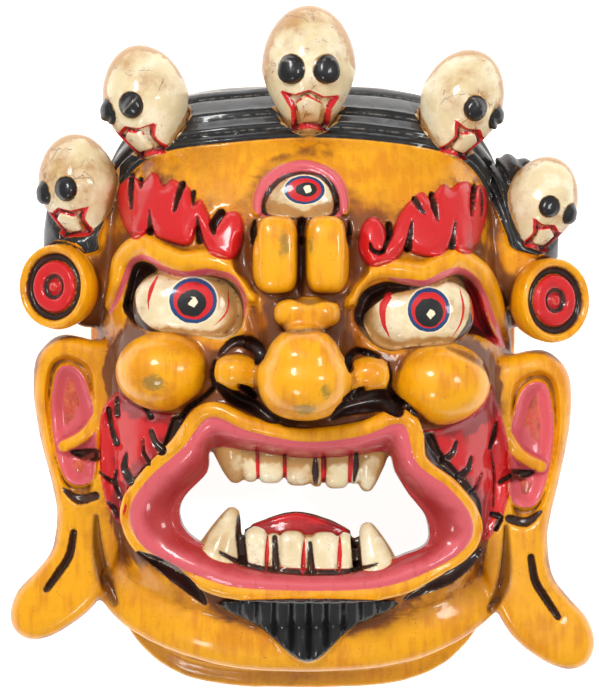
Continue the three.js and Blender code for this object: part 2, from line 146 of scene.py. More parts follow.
# Notches and creases cut by the gouge: the path, its half widths along it and its depth. They are
# filled with dark paint.
NOTCHES = [
    ([(-98.4, 101), (-98.8, 91), (-98.4, 81)], [1.6, 1.7, 0.9], 5),
    ([(-93, 98), (-92.6, 93)], [1.6, 0.6], 3),
    ([(-68.4, 95), (-71, 87), (-73, 79)], [2, 1.9, 0.8], 5),
    ([(-62, 90), (-62.2, 82)], [1.6, 0.6], 3),
    ([(-46, 78), (-50.5, 71), (-49.8, 65.5)], [2.6, 2.6, 0.8], 6),
    ([(-87.7, 80), (-87.4, 73), (-86.8, 67)], [0.5, 1.3, 2], 5),
    ([(-59.6, 76), (-59.2, 69), (-58.4, 62)], [0.5, 1.3, 2.2], 5),
    ([(50.4, 71), (50.8, 65), (47, 56)], [2, 1.8, 1], 6),
    ([(47.4, 56), (44.7, 54.8), (40.5, 56.8), (39.6, 60.5)], [1.4, 1.5, 1.3, 0.7], 4),
    ([(65.4, 86), (68, 81.5), (71, 77.6)], [1.8, 1.7, 0.7], 4),
    ([(75.4, 89), (77, 81), (79, 73.8)], [1.7, 1.8, 0.7], 5),
    ([(100.8, 94), (99.4, 85), (99, 77)], [1.6, 1.6, 0.8], 5),
    ([(104.6, 92), (105.4, 84), (104.6, 76)], [0.9, 1, 0.5], 3),
    ([(64, 74), (62.8, 66), (61.4, 57.6)], [0.5, 1.5, 2.4], 5),
    ([(89.4, 74), (88.2, 66), (87, 59)], [0.4, 1.1, 2.2], 5),
    ([(-106.9, -29), (-106.9, -38.5)], [1.2, 2], 4),
    ([(-112.2, -35), (-110.2, -47), (-107.3, -55)], [1.4, 1.4, 2.2], 4),
    ([(-91, -34.6), (-88.5, -36.6), (-86.8, -39.6)], [0.8, 1.4, 2], 3),
    ([(-86.6, -47.6), (-84, -54.5), (-80, -58.4)], [1.6, 2, 3], 4),
    ([(-91.4, -52.6), (-91.2, -60), (-87.5, -66)], [0.8, 1.2, 1.2], 4),
    ([(-101.1, -60.8), (-102.6, -69), (-99, -76.5)], [0.8, 2.2, 2.8], 4),
    ([(-107.3, -71), (-108.3, -78), (-105, -87)], [0.8, 1.6, 1.4], 4),
    ([(-117.5, -72), (-110.4, -77.4)], [0.7, 1.4], 3),
    ([(-112, -90), (-108.5, -93), (-107, -98)], [1.2, 1.4, 1], 3),
    ([(89.7, -54), (87.4, -60.6), (82, -64.5)], [1, 1.7, 2.4], 4),
    ([(98.5, -63), (96.6, -70), (91.6, -74)], [1, 1.8, 2.6], 4),
    ([(113.6, -43), (112.4, -50), (109.8, -58)], [0.7, 1.6, 1.2], 4),
    ([(121.4, -74.6), (116, -78)], [1.7, 1.4], 3),
    ([(111, -96.4), (116, -98.6), (113.4, -105)], [1.6, 2.2, 1.8], 4),
    ([(105.4, -72), (101.8, -80.4), (98, -83.6)], [0.4, 0.9, 0.8], 3),
    ([(110.8, -60), (112.8, -75), (112, -93)], [0.4, 0.8, 0.6], 2.4),
    # round the nose
    ([(-46.5, -3.6), (-39, 3.4), (-29.6, 3.2), (-23.6, -2.4), (-25, -8)], [1.5, 3, 4.2, 3.6, 1.4], 7),
    ([(28.4, -12), (26.9, -6.4), (30.8, -1.6), (38, -2.4), (45, -5)], [1.8, 2, 2, 1.9, 0.9], 7),
    ([(-35, -21.8), (-31, -23.6), (-26.8, -27)], [1.4, 2.3, 1.8], 7),
    ([(24.8, -29), (30, -26.4), (35.6, -23.2)], [1.5, 2.6, 1.4], 7),
    ([(-47.8, -21), (-39, -28), (-28, -33), (-18, -39.4), (-12.4, -41.4)], [1.6, 4, 4.4, 2.8, 0.8],
     9),
    ([(17.5, -40), (25, -34.4), (37, -31), (48, -30), (55.4, -36)], [1.2, 4.6, 6.4, 6.6, 3.6], 9),
    ([(-49.4, -7), (-51, -15), (-50, -22), (-57, -29), (-65, -34.5), (-69, -41)],
     [0.9, 1.3, 1.5, 1.3, 1.6, 1.4], 5),
    ([(50, -8), (51.4, -16), (50.6, -22), (54, -28), (59, -32), (66, -38)],
     [0.6, 1, 1.4, 1.6, 1.6, 1], 5),
    # between the pads and beside them
    ([(0.3, 73), (0.2, 68), (0.2, 61)], [2.6, 2, 0.9], 8),
    ([(-26.4, 74), (-27.4, 67), (-28, 59)], [0.8, 1.9, 0.7], 6),
    ([(27.4, 73), (27.8, 66), (28, 58)], [0.7, 1.5, 0.6], 6),
    # the chin
    ([(-94, -118), (-84, -123), (-72, -131), (-61, -141), (-55.5, -147.5)],
     [1.4, 3.6, 5.2, 3.6, 1.2], 8),
    ([(60, -145), (72, -139), (86, -132.6), (98, -124), (104.5, -117)], [1, 3, 4.4, 3, 1.2], 7),
]
# Creases that hold brown wash and painted shade but no solid dark: the same three entries.
CREASES = [
    ([(0.2, 62), (0.2, 48), (0.2, 31)], [2.4, 2.2, 1.6], 5),
    ([(-14, 27.4), (-6, 29.4), (4, 26.6), (12, 28), (20, 27)], [1, 1.4, 1.6, 1.4, 0.8], 1.8),
    ([(-12, 10.4), (-2, 9.6), (8, 10.8), (17, 9.4)], [0.8, 1.2, 1.2, 0.8], 1.4),
    ([(84, 0.6), (96, -4.4), (106, -11), (109, -20)], [0.8, 1.6, 1.4, 0.5], 2.4),
    ([(-10, -42.8), (2, -44), (14, -42.6)], [0.8, 1.4, 0.8], 1.6),
    ([(-104, 10), (-109, 0), (-109, -14)], [1.2, 1.6, 0.6], 2),
    ([(-119.5, -98), (-118.5, -116), (-115, -132), (-109, -148)], [1.2, 2.6, 3.4, 2], 6),
    ([(119.5, -104), (119.5, -122), (117.5, -138), (111, -152)], [1.2, 2.4, 3.2, 2], 6),
]
# Painted lines, the veins of the eyes and the gums between the teeth: the path and its half widths.
VEINS = [
    ([(-82.3, 41.9), (-86.2, 33.7), (-88.3, 23.8)], [0.4, 1.4, 0.3]),
    ([(-42, 32.3), (-41.6, 24.1), (-44.4, 18.4), (-49.5, 13.4)], [0.3, 0.6, 0.6, 0.2]),
    ([(50.4, 30.2), (47.4, 25.4), (46.7, 20.6), (47.6, 13.4), (50.6, 7)], [2.2, 2.3, 1.9, 1.2, 0.3]),
    ([(91.5, 33), (93.3, 23.4), (91.5, 14.1), (86.8, 6.7)], [0.4, 0.8, 0.6, 0.2]),
]
GUM_LINES = [
    ([(-25.2, -57.5), (-25, -66), (-24.6, -76.5)], [1.1, 1.2, 1]),
    ([(-9.4, -61), (-9.3, -70), (-9.3, -78)], [1.1, 1.2, 1.3]),
    ([(13, -61.5), (13, -70), (12.8, -80)], [1.5, 1.6, 1.3]),
    ([(28.6, -60), (28.4, -68), (27.6, -80)], [1.4, 1.5, 1]),
    ([(-19.3, -108), (-19.6, -118), (-20, -125)], [0.5, 1.4, 1.1]),
    ([(1.8, -111), (1.4, -120), (1, -128)], [0.5, 1.4, 1.3]),
    ([(22.3, -109), (22.3, -118), (22, -126)], [0.6, 1.4, 1.2]),
]
TONGUE_RIDGE = [(-27, -103), (-8.2, -97.7), (2.5, -97.7), (24.8, -105.5)]
# Dark gaps between the teeth, partly stain and partly painted shade on one side of each tooth: path,
# half widths and depth.
TOOTH_STAINS_AND_SHADE = [
    ([(8.2, -64), (8.3, -71), (8.4, -77)], [1.4, 2.2, 1.2], 1.5),
    ([(31.6, -60), (31.4, -68), (30.4, -76)], [1.2, 2, 0.8], 1.5),
    ([(-35.5, -97), (-35, -108), (-33.5, -122)], [1.4, 2.8, 2.4], 2.5),
    ([(-15.2, -109), (-14.8, -118), (-14.6, -125)], [1.6, 2, 2.2], 2),
    ([(5.2, -112), (5.4, -120), (5.8, -128)], [1.2, 1.8, 2.4], 2),
    ([(30.6, -101), (31.4, -112), (32.4, -124)], [2, 2.6, 2.6], 2.5),
    ([(-47, -117), (-34, -123.6), (-18, -127.4), (6, -129), (26, -128.4), (44, -124)],
     [1, 1.6, 1.6, 1.7, 1.6, 0.8], 2),
]
# Soft patches of brown wash and painted shade over the yellow: middle, reach and strength. Negative ones
# keep raised parts bright as painted highlight.
PAINTED_SHADE_AND_WASH = [
    (-60, 108, 40, 9, 0.5), (64, 104, 36, 9, 0.4), (0, 116, 70, 5, 0.3), (-45, 90, 18, 12, 0.45),
    (42, 88, 16, 12, 0.45), (0, 104, 26, 9, -0.5), (-33, 96, 8, 12, -0.35), (34, 98, 9, 12, -0.4),
    (-33, 60, 7, 22, 0.6), (33, 56, 7, 22, 0.6), (-26, 14, 10, 10, 0.7), (31, 8, 9, 12, 0.7),
    (-60, 0, 26, 6, 0.6), (62, -6, 26, 6, 0.5), (-76, -15, 22, 12, -0.4), (80, -22, 24, 13, -0.4),
    (-15, 46, 8, 14, -0.35), (15, 46, 8, 14, -0.35), (2, -14, 16, 18, -0.35), (0, 18, 12, 5, -0.3),
    (0, -150, 80, 10, 0.25), (-80, -140, 20, 12, 0.3), (90, -145, 20, 12, 0.3),
    (-106, 4, 9, 14, 0.4), (0, -192, 80, 8, 0.4), (-114, -130, 8, 30, 0.5), (114, -136, 8, 26, 0.5),
    (-60, -36, 8, 7, 0.5), (62, -38, 8, 6, 0.5), (-38, -44, 16, 5, 0.4),
]
# Spots where the yellow is rubbed grey: middle and reach.
RUBBED = [(2, -34, 9, 4), (-9, 60, 4, 9), (-84, -20, 9, 6), (6, 58, 2, 6), (14, -24, 4, 6)]

# Each pair is a point of the pink lip's outer edge and the point of the opening across from it.
LIP = [[(2, -53), (2, -62)], [(-30, -47), (-30, -58)], [(-52, -39), (-51, -57)],
       [(-68, -57), (-54, -71)], [(-88, -75), (-67, -85)], [(-99, -94), (-70, -96)],
       [(-90, -115), (-64, -108)], [(-58, -131), (-44, -119)], [(-28, -138), (-20, -126)],
       [(40, -138), (34, -127)], [(78, -126), (59, -119)], [(97, -112), (73, -112)],
       [(98, -97), (72, -97)], [(86, -81), (62, -84)], [(66, -65), (54, -71)],
       [(58, -43), (49, -59)], [(34, -50), (29, -61)]]
LIP_EDGE = [edge for edge, _ in LIP]
MOUTH = [opening for _, opening in LIP]
BEARD = [(-45, -145.5), (54, -145.5), (28, -163), (4, -182), (-22, -163)]
EAR = [(104, 0), (122, 5), (140, 8), (152, 0), (157, -12), (156, -37), (150, -64), (145, -84),
       (143, -98), (146, -118), (156, -131), (167, -143), (171, -156), (167, -167), (155, -171),
       (138, -164), (118, -146), (104, -110), (102, -50)]
CONCHA = [(121, -14), (128, -6), (138, -3), (147, -8), (150.6, -22), (149.6, -44), (145, -66),
          (139, -82), (130, -87), (121, -84), (119, -60), (119, -36)]
EAR_FLOOR = [(123, -27), (127.5, -15), (134.7, -10), (142, -12), (145.4, -23.7), (146.4, -36),
             (145.2, -50), (141.8, -66), (137, -77), (130, -80), (122, -77), (119.5, -66),
             (119.5, -44)]
TRAGUS = [(117, -38), (125, -49), (132, -54), (138.4, -57)]
EAR_SHADOW = [(119, -62), (127, -62), (135, -60)]
EAR_CRESCENT = [(139, -82), (130, -88), (120, -86)]
EAR_SLIT = [(133, -107.5), (135.6, -121), (142, -131), (149, -141)]

SKULL_RADII = (26, 36, 27)
SKULL_EYE_RADII = (7.9, 8.3, 3.2)
SKULL_EYE_MIDDLE = (9, 0, 23.6)
SKULL_EYE_TURN = 19
SKULLS = [
    dict(at=(-130, 94, 38), size=0.88, turn=(0, -38, 9)),
    dict(at=(-90, 143, 50), size=0.95, turn=(0, -42, 14)),
    dict(at=(4.5, 161, 62), size=1.06, turn=(0, 0, 0)),
    dict(at=(93, 142, 50), size=0.92, turn=(0, 42, -20)),
    dict(at=(140, 84, 38), size=0.8, turn=(0, 34, -18)),
]
SKULL_MOUTH = [(-16.4, -11), (-8, -14), (0.3, -11.4), (8, -15), (17.4, -14), (12.3, -22),
               (10.8, -33.6), (0, -32), (-9.6, -33.2), (-9.8, -22)]
SKULL_PLATE = [(-7.4, -19), (-0.8, -15.4), (7.4, -19.4), (5.8, -29.3), (-4.2, -29.3)]
STUD_RADIUS = 25
STUDS = [dict(at=(-142, 36, 44), turn=-34), dict(at=(146, 28, 44), turn=34)]


# ---- surfaces and lines -------------------------------------------------------------------------
def reach(form, x, y):
    """Share of the way from the middle of a domed form to its outline."""
    across = np.abs(x - form["x"]) / form["half_width"]
    along = np.abs(y) / np.where(y > 0, form["crown"], form["chin"])
    return (across ** OUTLINE_POWER + along ** OUTLINE_POWER) ** (1 / OUTLINE_POWER)


def skin(x, y):
    """Height of the head's plain surface above the back rim."""
    share = np.minimum(reach(HEAD, x, y), 1)
    return HEAD["depth"] * (1 - share ** DOME_POWER) ** (1 / DOME_POWER)


def ear_level(x, y):
    return 46 - 0.36 * (np.abs(x) - 118)


def curve(points, share, closed=False):
    """Places and directions at shares of the way along a smooth line through the points."""
    knots = np.array(points, float)
    spans = len(knots) if closed else len(knots) - 1
    step = np.clip(share, 0, 1) * spans
    index = np.minimum(step.astype(int), spans - 1)
    f = (step - index)[:, None]

    def knot(k):
        return knots[(index + k) % len(knots)] if closed else knots[
            np.clip(index + k, 0, len(knots) - 1)]

    a, b, c, d = knot(-1), knot(0), knot(1), knot(2)
    square = 2 * a - 5 * b + 4 * c - d
    cube = 3 * b - a - 3 * c + d
    place = 0.5 * (2 * b + (c - a) * f + square * f ** 2 + cube * f ** 3)
    slope = 0.5 * ((c - a) + 2 * square * f + 3 * cube * f ** 2)
    return place, slope / np.maximum(np.linalg.norm(slope, axis=1, keepdims=True), 1e-6)


def line(points, closed=False, steps=5):
    """A smooth line through the points as short straight spans."""
    count = (len(points) if closed else len(points) - 1) * steps
    return curve(points, np.linspace(0, 1, count + 1), closed)[0]


def nearest(xy, path):
    """Distance from each place to a line, and the share of the way along it."""
    best = np.full(len(xy), 1e9)
    share = np.zeros(len(xy))
    for i in range(len(path) - 1):
        span = path[i + 1] - path[i]
        f = np.clip(((xy - path[i]) @ span) / (span @ span), 0, 1)
        gap = np.linalg.norm(xy - path[i] - f[:, None] * span, axis=1)
        closer = gap < best
        best[closer] = gap[closer]
        share[closer] = (i + f[closer]) / (len(path) - 1)
    return best, share


def beside(xy, path):
    """Distance to a line, negative on its right, and the share of the way along it."""
    gap, share = nearest(xy, path)
    step = np.minimum((share * (len(path) - 1)).astype(int), len(path) - 2)
    start, span = path[step], path[step + 1] - path[step]
    left = span[:, 0] * (xy[:, 1] - start[:, 1]) > span[:, 1] * (xy[:, 0] - start[:, 0])
    return np.where(left, gap, -gap), share


def depth_inside(xy, outline, far=30.0, steps=5):
    """Distance to a closed outline, positive inside it and negative outside."""
    path = line(outline, closed=True, steps=steps)
    result = np.full(len(xy), -far)
    close = ((xy > path.min(0) - far) & (xy < path.max(0) + far)).all(axis=1)
    spot = xy[close]
    gap, _ = nearest(spot, path)
    inside = np.zeros(len(spot), bool)
    for (x0, y0), (x1, y1) in zip(path[:-1], path[1:]):
        if y0 != y1:
            crosses = (spot[:, 1] > y0) != (spot[:, 1] > y1)
            edge = x0 + (spot[:, 1] - y0) * (x1 - x0) / (y1 - y0)
            inside ^= crosses & (spot[:, 0] < edge)
    result[close] = np.where(inside, gap, -np.minimum(gap, far))
    return result


def smooth_step(value):
    share = np.clip(value, 0, 1)
    return share * share * (3 - 2 * share)


# ---- meshes -------------------------------------------------------------------------------------
def vertices(obj):
    flat = np.empty(len(obj.data.vertices) * 3)
    obj.data.vertices.foreach_get("co", flat)
    return flat.reshape(-1, 3)


def set_vertices(obj, places):
    obj.data.vertices.foreach_set("co", np.ascontiguousarray(places * MM).ravel())
    obj.data.update()


def normals(obj):
    flat = np.empty(len(obj.data.vertices) * 3)
    obj.data.vertices.foreach_get("normal", flat)
    return flat.reshape(-1, 3)


def turning(turn):
    return np.array(Euler([math.radians(angle) for angle in turn], "XYZ").to_matrix())


def sphere(detail):
    bpy.ops.mesh.primitive_uv_sphere_add(segments=detail[0], ring_count=detail[1], radius=1)
    return bpy.context.object


def dome(form, power=DOME_POWER, foot=0, detail=(192, 96)):
    """A domed block with a squarish outline and a flat foot."""
    obj = sphere(detail)
    unit = vertices(obj)
    share = np.hypot(unit[:, 0], unit[:, 1])
    angle = np.arctan2(unit[:, 1], unit[:, 0])
    cosine, sine = np.cos(angle), np.sin(angle)
    stretch = (np.abs(cosine) ** OUTLINE_POWER + np.abs(sine) ** OUTLINE_POWER) ** (
        -1 / OUTLINE_POWER)
    level = form["depth"] * np.maximum(1 - share ** power, 0) ** (1 / power)
    along = np.where(sine > 0, form["crown"], form["chin"])
    set_vertices(obj, np.stack([
        form["x"] + form["half_width"] * share * stretch * cosine,
        along * share * stretch * sine,
        np.where(unit[:, 2] > -0.01, level, foot),
    ], axis=1))
    return obj


def ball(at, radii, turn=(0, 0, 0), squareness=2, form=None, detail=(48, 24)):
    """An egg or a rounded block. Squareness 2 is an ellipsoid, 4 is nearly a box."""
    obj = sphere(detail)
    unit = vertices(obj)
    unit /= (np.abs(unit) ** squareness).sum(axis=1, keepdims=True) ** (1 / squareness)
    if form:
        unit = form(unit)
    set_vertices(obj, (unit * radii) @ turning(turn).T + at)
    return obj


def lump(at, radii, lift=0, **rest):
    """A ball that sits on the skin, its middle raised by lift."""
    return ball((*at, skin(*np.array(at, float)) + lift), radii, **rest)


def roll(path, width, height, lift=0, ground=skin, root=ROOT, fullness=3, rings=64):
    """A carved roll along a path on the skin. Width is one number or one for each point."""
    obj = sphere((20, rings))
    unit = vertices(obj)
    share = np.arccos(np.clip(unit[:, 2], -1, 1)) / math.pi
    spread = np.maximum(np.hypot(unit[:, 0], unit[:, 1]), 1e-9)
    side, up = unit[:, 0] / spread, unit[:, 1] / spread
    girth = np.maximum(1 - np.abs(2 * share - 1) ** fullness, 0) ** (1 / fullness)
    place, way = curve(path, share)
    widths = np.full(len(path), float(width)) if np.isscalar(width) else np.array(width, float)
    half = np.interp(share, np.linspace(0, 1, len(widths)), widths) * girth
    x = place[:, 0] + way[:, 1] * side * half
    y = place[:, 1] - way[:, 0] * side * half
    level = ground(place[:, 0], place[:, 1]) + lift
    set_vertices(obj, np.stack([x, y, level + girth * up * np.where(up > 0, height, root)], axis=1))
    return obj


def plate(outline, level, thickness, edge):
    """A flat board with a rounded front edge: an outline extruded, then inset in small steps."""
    path = line(outline, closed=True)[:-1]
    bpy.ops.mesh.primitive_circle_add(vertices=len(path), fill_type="NGON")
    obj = bpy.context.object
    set_vertices(obj, np.column_stack([path, np.zeros(len(path))]))
    bpy.ops.object.mode_set(mode="EDIT")
    bpy.ops.mesh.select_all(action="SELECT")
    rise = (thickness - edge) * MM
    bpy.ops.mesh.extrude_region_move(TRANSFORM_OT_translate={"value": (0, 0, rise)})
    steps = 5
    for i in range(steps):
        start, end = (math.pi / 2 * k / steps for k in (i, i + 1))
        bpy.ops.mesh.inset(
            thickness=edge * (math.cos(start) - math.cos(end)) * MM, depth=0)
        lift = edge * (math.sin(end) - math.sin(start)) * MM
        bpy.ops.transform.translate(value=(0, 0, lift))
    bpy.ops.mesh.select_all(action="SELECT")
    bpy.ops.mesh.normals_make_consistent(inside=False)
    bpy.ops.object.mode_set(mode="OBJECT")
    places = vertices(obj) / MM
    places[:, 2] += level(places[:, 0], places[:, 1]) - thickness
    set_vertices(obj, places)
    return obj


def modified(obj, kind, **settings):
    """Adds one modifier to an object and applies it."""
    bpy.context.view_layer.objects.active = obj
    modifier = obj.modifiers.new(kind, kind)
    for name, value in settings.items():
        setattr(modifier, name, value)
    bpy.ops.object.modifier_apply(modifier=modifier.name)
    return obj


def joined(objects, name):
    bpy.ops.object.select_all(action="DESELECT")
    for obj in objects:
        obj.select_set(True)
    bpy.context.view_layer.objects.active = objects[0]
    bpy.ops.object.join()
    objects[0].name = name
    return objects[0]


def grown_together(obj, grain):
    """One closed skin round all that an object holds, without sealed pockets."""
    modified(obj, "REMESH", mode="VOXEL", voxel_size=grain * MM)
    bpy.ops.object.select_all(action="DESELECT")
    obj.select_set(True)
    bpy.ops.object.mode_set(mode="EDIT")
    bpy.ops.mesh.select_all(action="SELECT")
    bpy.ops.mesh.separate(type="LOOSE")
    bpy.ops.object.mode_set(mode="OBJECT")
    pieces = sorted(bpy.context.selected_objects, key=lambda piece: len(piece.data.vertices))
    for crumb in pieces[:-1]:
        bpy.data.objects.remove(crumb)
    return pieces[-1]


def cut(obj, tool):
    modified(obj, "BOOLEAN", operation="DIFFERENCE", solver="MANIFOLD", object=tool)
    bpy.data.objects.remove(tool)


# ---- carving strokes, each on an array of places and normals ------------------------------------
def stroke(places, way, path, width, depth, taper=0.0, sharp=1.0, steps=5):
    """Cuts a groove along a path, or raises a ridge where depth is negative."""
    track = line(path, steps=steps)
    widest = np.max(width) + 1
    xy = places[:, :2]
    close = np.flatnonzero(((xy > track.min(0) - widest) & (xy < track.max(0) + widest)).all(axis=1)
                           & (way[:, 2] > -0.2))
    gap, share = nearest(xy[close], track)
    widths = np.atleast_1d(np.array(width, float))
    half = np.interp(share, np.linspace(0, 1, len(widths)), widths) * (1 - taper * share)
    fall = np.clip(1 - (gap / np.maximum(half, 0.05)) ** 2, 0, 1) ** sharp
    places[close] -= way[close] * (fall * depth * np.minimum(1, half / half.max()))[:, None]


def field(places, way, outline, rise, soft):
    """Raises or sinks all that lies inside an outline, with an edge of the given softness."""
    xy = places[:, :2]
    path = line(outline, closed=True)
    close = np.flatnonzero(((xy > path.min(0) - soft) & (xy < path.max(0) + soft)).all(axis=1)
                           & (way[:, 2] > -0.2))
    inner = depth_inside(xy[close], outline)
    places[close] += np.outer(smooth_step(inner / soft) * rise, (0, 0, 1))


# ---- the rough block ----------------------------------------------------------------------------
def pear(unit):
    unit[:, 0] *= 1 - 0.3 * smooth_step((unit[:, 1] - 0.1) / 0.9)
    unit[:, 2] *= 1 - 0.2 * np.maximum(unit[:, 1], 0)
    return unit


def narrow_jaw(unit):
    below = np.maximum(0, -unit[:, 1])
    unit[:, 0] *= 1 - 0.3 * below
    unit[:, 2] *= 1 - 0.18 * below
    return unit


def peaked(unit):
    unit[:, 0] *= 1 - 0.5 * np.maximum(unit[:, 1], 0)
    return unit


def ear_outline(side, outline):
    """Both ears share one drawing. The viewer's right one is longer and hangs lower."""
    longer, drop, out = (1.05, -9, 1.5) if side > 0 else (1, 0, 0)
    return [(side * (x + out), y * longer + drop) for x, y in outline]


def rough_block():
    pieces = [
        dome(HEAD),
        dome(RIM, power=9),
        roll([(-114, -96), (-98, -140), (-50, -163), (2, -168), (60, -162), (102, -138),
              (117, -100)], width=20, height=10, lift=-3, fullness=5),
        lump((-79, -13), (28, 23, 27), lift=2),
        lump((80, -20), (29, 24, 27), lift=2),
        roll([(-113, 22), (-107, 37), (-103, 51), (-92, 58.5), (-80, 53.5), (-68, 49), (-54, 50),
              (-42, 47), (-31, 36), (-27, 24)],
             width=[5, 6, 7, 8, 7.5, 7, 7, 6, 5, 4], height=11, lift=1),
        roll([(27, 22), (33, 37), (45, 45), (58, 44.5), (70, 43), (82, 48), (92, 51), (104, 43),
              (112, 30), (118, 14), (123, -4)],
             width=[4, 5, 6, 7, 7, 7.5, 7, 7, 6, 5, 3], height=11, lift=1),
        ball((-124, 62, 22), (25, 50, 26)),
        ball((124, 62, 22), (25, 50, 26)),
    ]
    for side in (-1, 1):
        outline = ear_outline(side, EAR)
        pieces.append(plate(outline, ear_level, EAR_THICKNESS, 8))
    return grown_together(joined(pieces, "rough_block"), ROUGH_GRAIN)


def nose():
    """Bridge, bulb and wings flow into each other."""
    pieces = [
        lump((3.5, 20), (19, 9.5, 15), lift=7, squareness=2.8),
        lump((2, -16), (27, 25, 34), lift=22, form=pear, squareness=2.3),
        lump((1.6, -5), (21, 18.5, 32), lift=22, form=pear, squareness=2.8),
        lump((-37, -13.5), (13.5, 10.5, 17), lift=7, squareness=2.3),
        lump((39, -15), (13, 10.5, 17), lift=7, squareness=2.3),
        roll([(-34, -14), (-20, -16)], width=8, height=9, lift=10),
        roll([(22, -18), (36, -16)], width=8, height=9, lift=10),
    ]
    smooth = grown_together(joined(pieces, "nose"), ROUGH_GRAIN)
    return modified(smooth, "SMOOTH", factor=0.5, iterations=6)


def hair_share(xy):
    """Share of the way across the hair, from the hairline to the edge of the crown, and its width."""
    front, _ = nearest(xy, line(HAIR_FRONT))
    back, _ = nearest(xy, line(HAIR_EDGE))
    return front / np.maximum(front + back, 1e-6), front + back


def rough_carving(obj):
    """Sockets and recesses, before the nose is there."""
    places = vertices(obj) / MM
    way = normals(obj)
    for outline, depth in ((EYE_LEFT, SOCKET_DEPTH), (EYE_RIGHT, SOCKET_DEPTH),
                           (THIRD_EYE, THIRD_SOCKET_DEPTH)):
        field(places, way, outline, -depth, soft=4)
    for outline in (FLAME_LEFT, FLAME_RIGHT):
        field(places, way, outline, -FLAME_BED_DEPTH, soft=5)
    stroke(places, way, [(-34, 62), (-33, 48), (-28, 34)], [5, 6, 4], 5)
    stroke(places, way, [(33, 62), (33, 46), (29, 32)], [5, 6, 4], 5)
    stroke(places, way, [(-29, 22), (-26, 10), (-25, 0)], [5, 6, 7], 5)
    stroke(places, way, [(30, 20), (29, 8), (28, -4)], [5, 6, 6], 5)
    set_vertices(obj, places)
    return obj


# ---- the pieces that the fine carving adds ------------------------------------------------------
def ring_about(path, share):
    """Places along a closed path and the directions out of it."""
    place, way = curve(path, share, closed=True)
    outward = np.column_stack([-way[:, 1], way[:, 0]])
    outward *= np.sign((outward * (place - np.array([0, -95]))).sum(axis=1))[:, None]
    return place, outward


def torus(detail):
    bpy.ops.mesh.primitive_torus_add(
        major_segments=detail[0], minor_segments=detail[1], major_radius=2, minor_radius=1)
    obj = bpy.context.object
    unit = vertices(obj)
    share = (np.arctan2(unit[:, 1], unit[:, 0]) / (2 * math.pi)) % 1
    return obj, share, np.hypot(unit[:, 0], unit[:, 1]) - 2, unit[:, 2]


def lip_band():
    """The pink lips: a ring bent round the mouth, sloping down to the opening."""
    obj, share, across, up = torus((160, 28))
    opening, _ = curve(MOUTH, share, closed=True)
    edge, _ = curve(LIP_EDGE, share, closed=True)
    spread = 0.56
    place = opening + (edge - opening) * (spread * (1 + across))[:, None]
    middle = (opening + edge) / 2
    ground = (skin(*middle.T) + skin(*place.T)) / 2
    set_vertices(obj, np.column_stack([place, ground + 7 * across + 12 * up]))
    return obj


def lip_rim():
    """The thin yellow roll that frames the lips."""
    obj, share, across, up = torus((200, 14))
    edge, outward = ring_about(LIP_EDGE, share)
    wider = 1 + 0.5 * smooth_step((edge[:, 1] + 75) / 25) + 0.3 * smooth_step(
        (-125 - edge[:, 1]) / 10)
    place = edge + outward * ((2.4 + 3.2 * across) * wider)[:, None]
    ground = skin(*edge.T) + 12
    set_vertices(obj, np.column_stack([place, ground + up * np.where(up > 0, 4.5, 18)]))
    return obj


def fang(root, tip, root_radius, tip_radius, setback=13, bend=1.2):
    """A fang is a tapered peg with a rounded end."""
    root, tip = np.array(root, float), np.array(tip, float)
    obj = sphere((24, 24))
    unit = vertices(obj)
    share = np.arccos(np.clip(unit[:, 2], -1, 1)) / math.pi
    spread = np.maximum(np.hypot(unit[:, 0], unit[:, 1]), 1e-9)
    girth = np.maximum(1 - np.abs(2 * share - 1) ** 5, 0) ** 0.2
    radius = root_radius + (tip_radius - root_radius) * share ** bend
    way = (tip - root) / np.linalg.norm(tip - root)
    place = root + (tip - root) * share[:, None]
    place = place + np.outer(unit[:, 0] / spread * radius * girth, (way[1], -way[0]))
    level = skin(*((root + tip) / 2)) - setback
    set_vertices(obj, np.column_stack([place, level + unit[:, 1] / spread * radius * girth]))
    return obj


def teeth():
    """Each flat tooth: its middle, its cutting edge, its half width and how far it is set back."""
    flat = [(-17.6, -77.6, 8.6, 12), (-1.4, -79, 8.8, 12), (9, -79.6, 4.4, 13.5),
            (20.6, -80.6, 8.2, 12), (-29, -77, 5, 13), (30, -78, 4, 14),
            (-26, -103.6, 7, 13), (-15.6, -107, 4.2, 15), (-5.2, -105.4, 7.6, 12.5),
            (4.6, -108, 4, 15), (13.6, -106, 8.4, 12.5), (25.6, -106.6, 4.6, 14)]
    pieces = []
    for x, edge, half, setback in flat:
        inward = 15 if edge > -90 else -13
        middle = edge + inward
        pieces.append(ball((x, middle, skin(x, middle) - setback), (half, abs(inward), 8),
                           squareness=3.4))
    pieces += [fang((-39.5, -48), (-37, -78), 14, 3.2, bend=1.6),
               fang((40, -50), (37.4, -83), 12.5, 3.2, bend=1.6),
               fang((-49.5, -126), (-38.4, -91), 14.6, 3.4, bend=1.4),
               fang((46, -134), (37.2, -100), 14, 3.4, bend=1.4)]
    return joined(pieces, "teeth")


def skull_head(at, size, turn):
    return ball(at, np.array(SKULL_RADII) * size, turn, form=narrow_jaw, detail=(64, 40))


def skull_eyes(at, size, turn):
    eyes = []
    for side in (-1, 1):
        middle = turning(turn) @ (np.array(SKULL_EYE_MIDDLE) * (side, 1, 1) * size)
        eyes.append(ball(middle + at, np.array(SKULL_EYE_RADII) * size,
                         (0, turn[1] + side * SKULL_EYE_TURN, turn[2])))
    return joined(eyes, "skull_eyes")


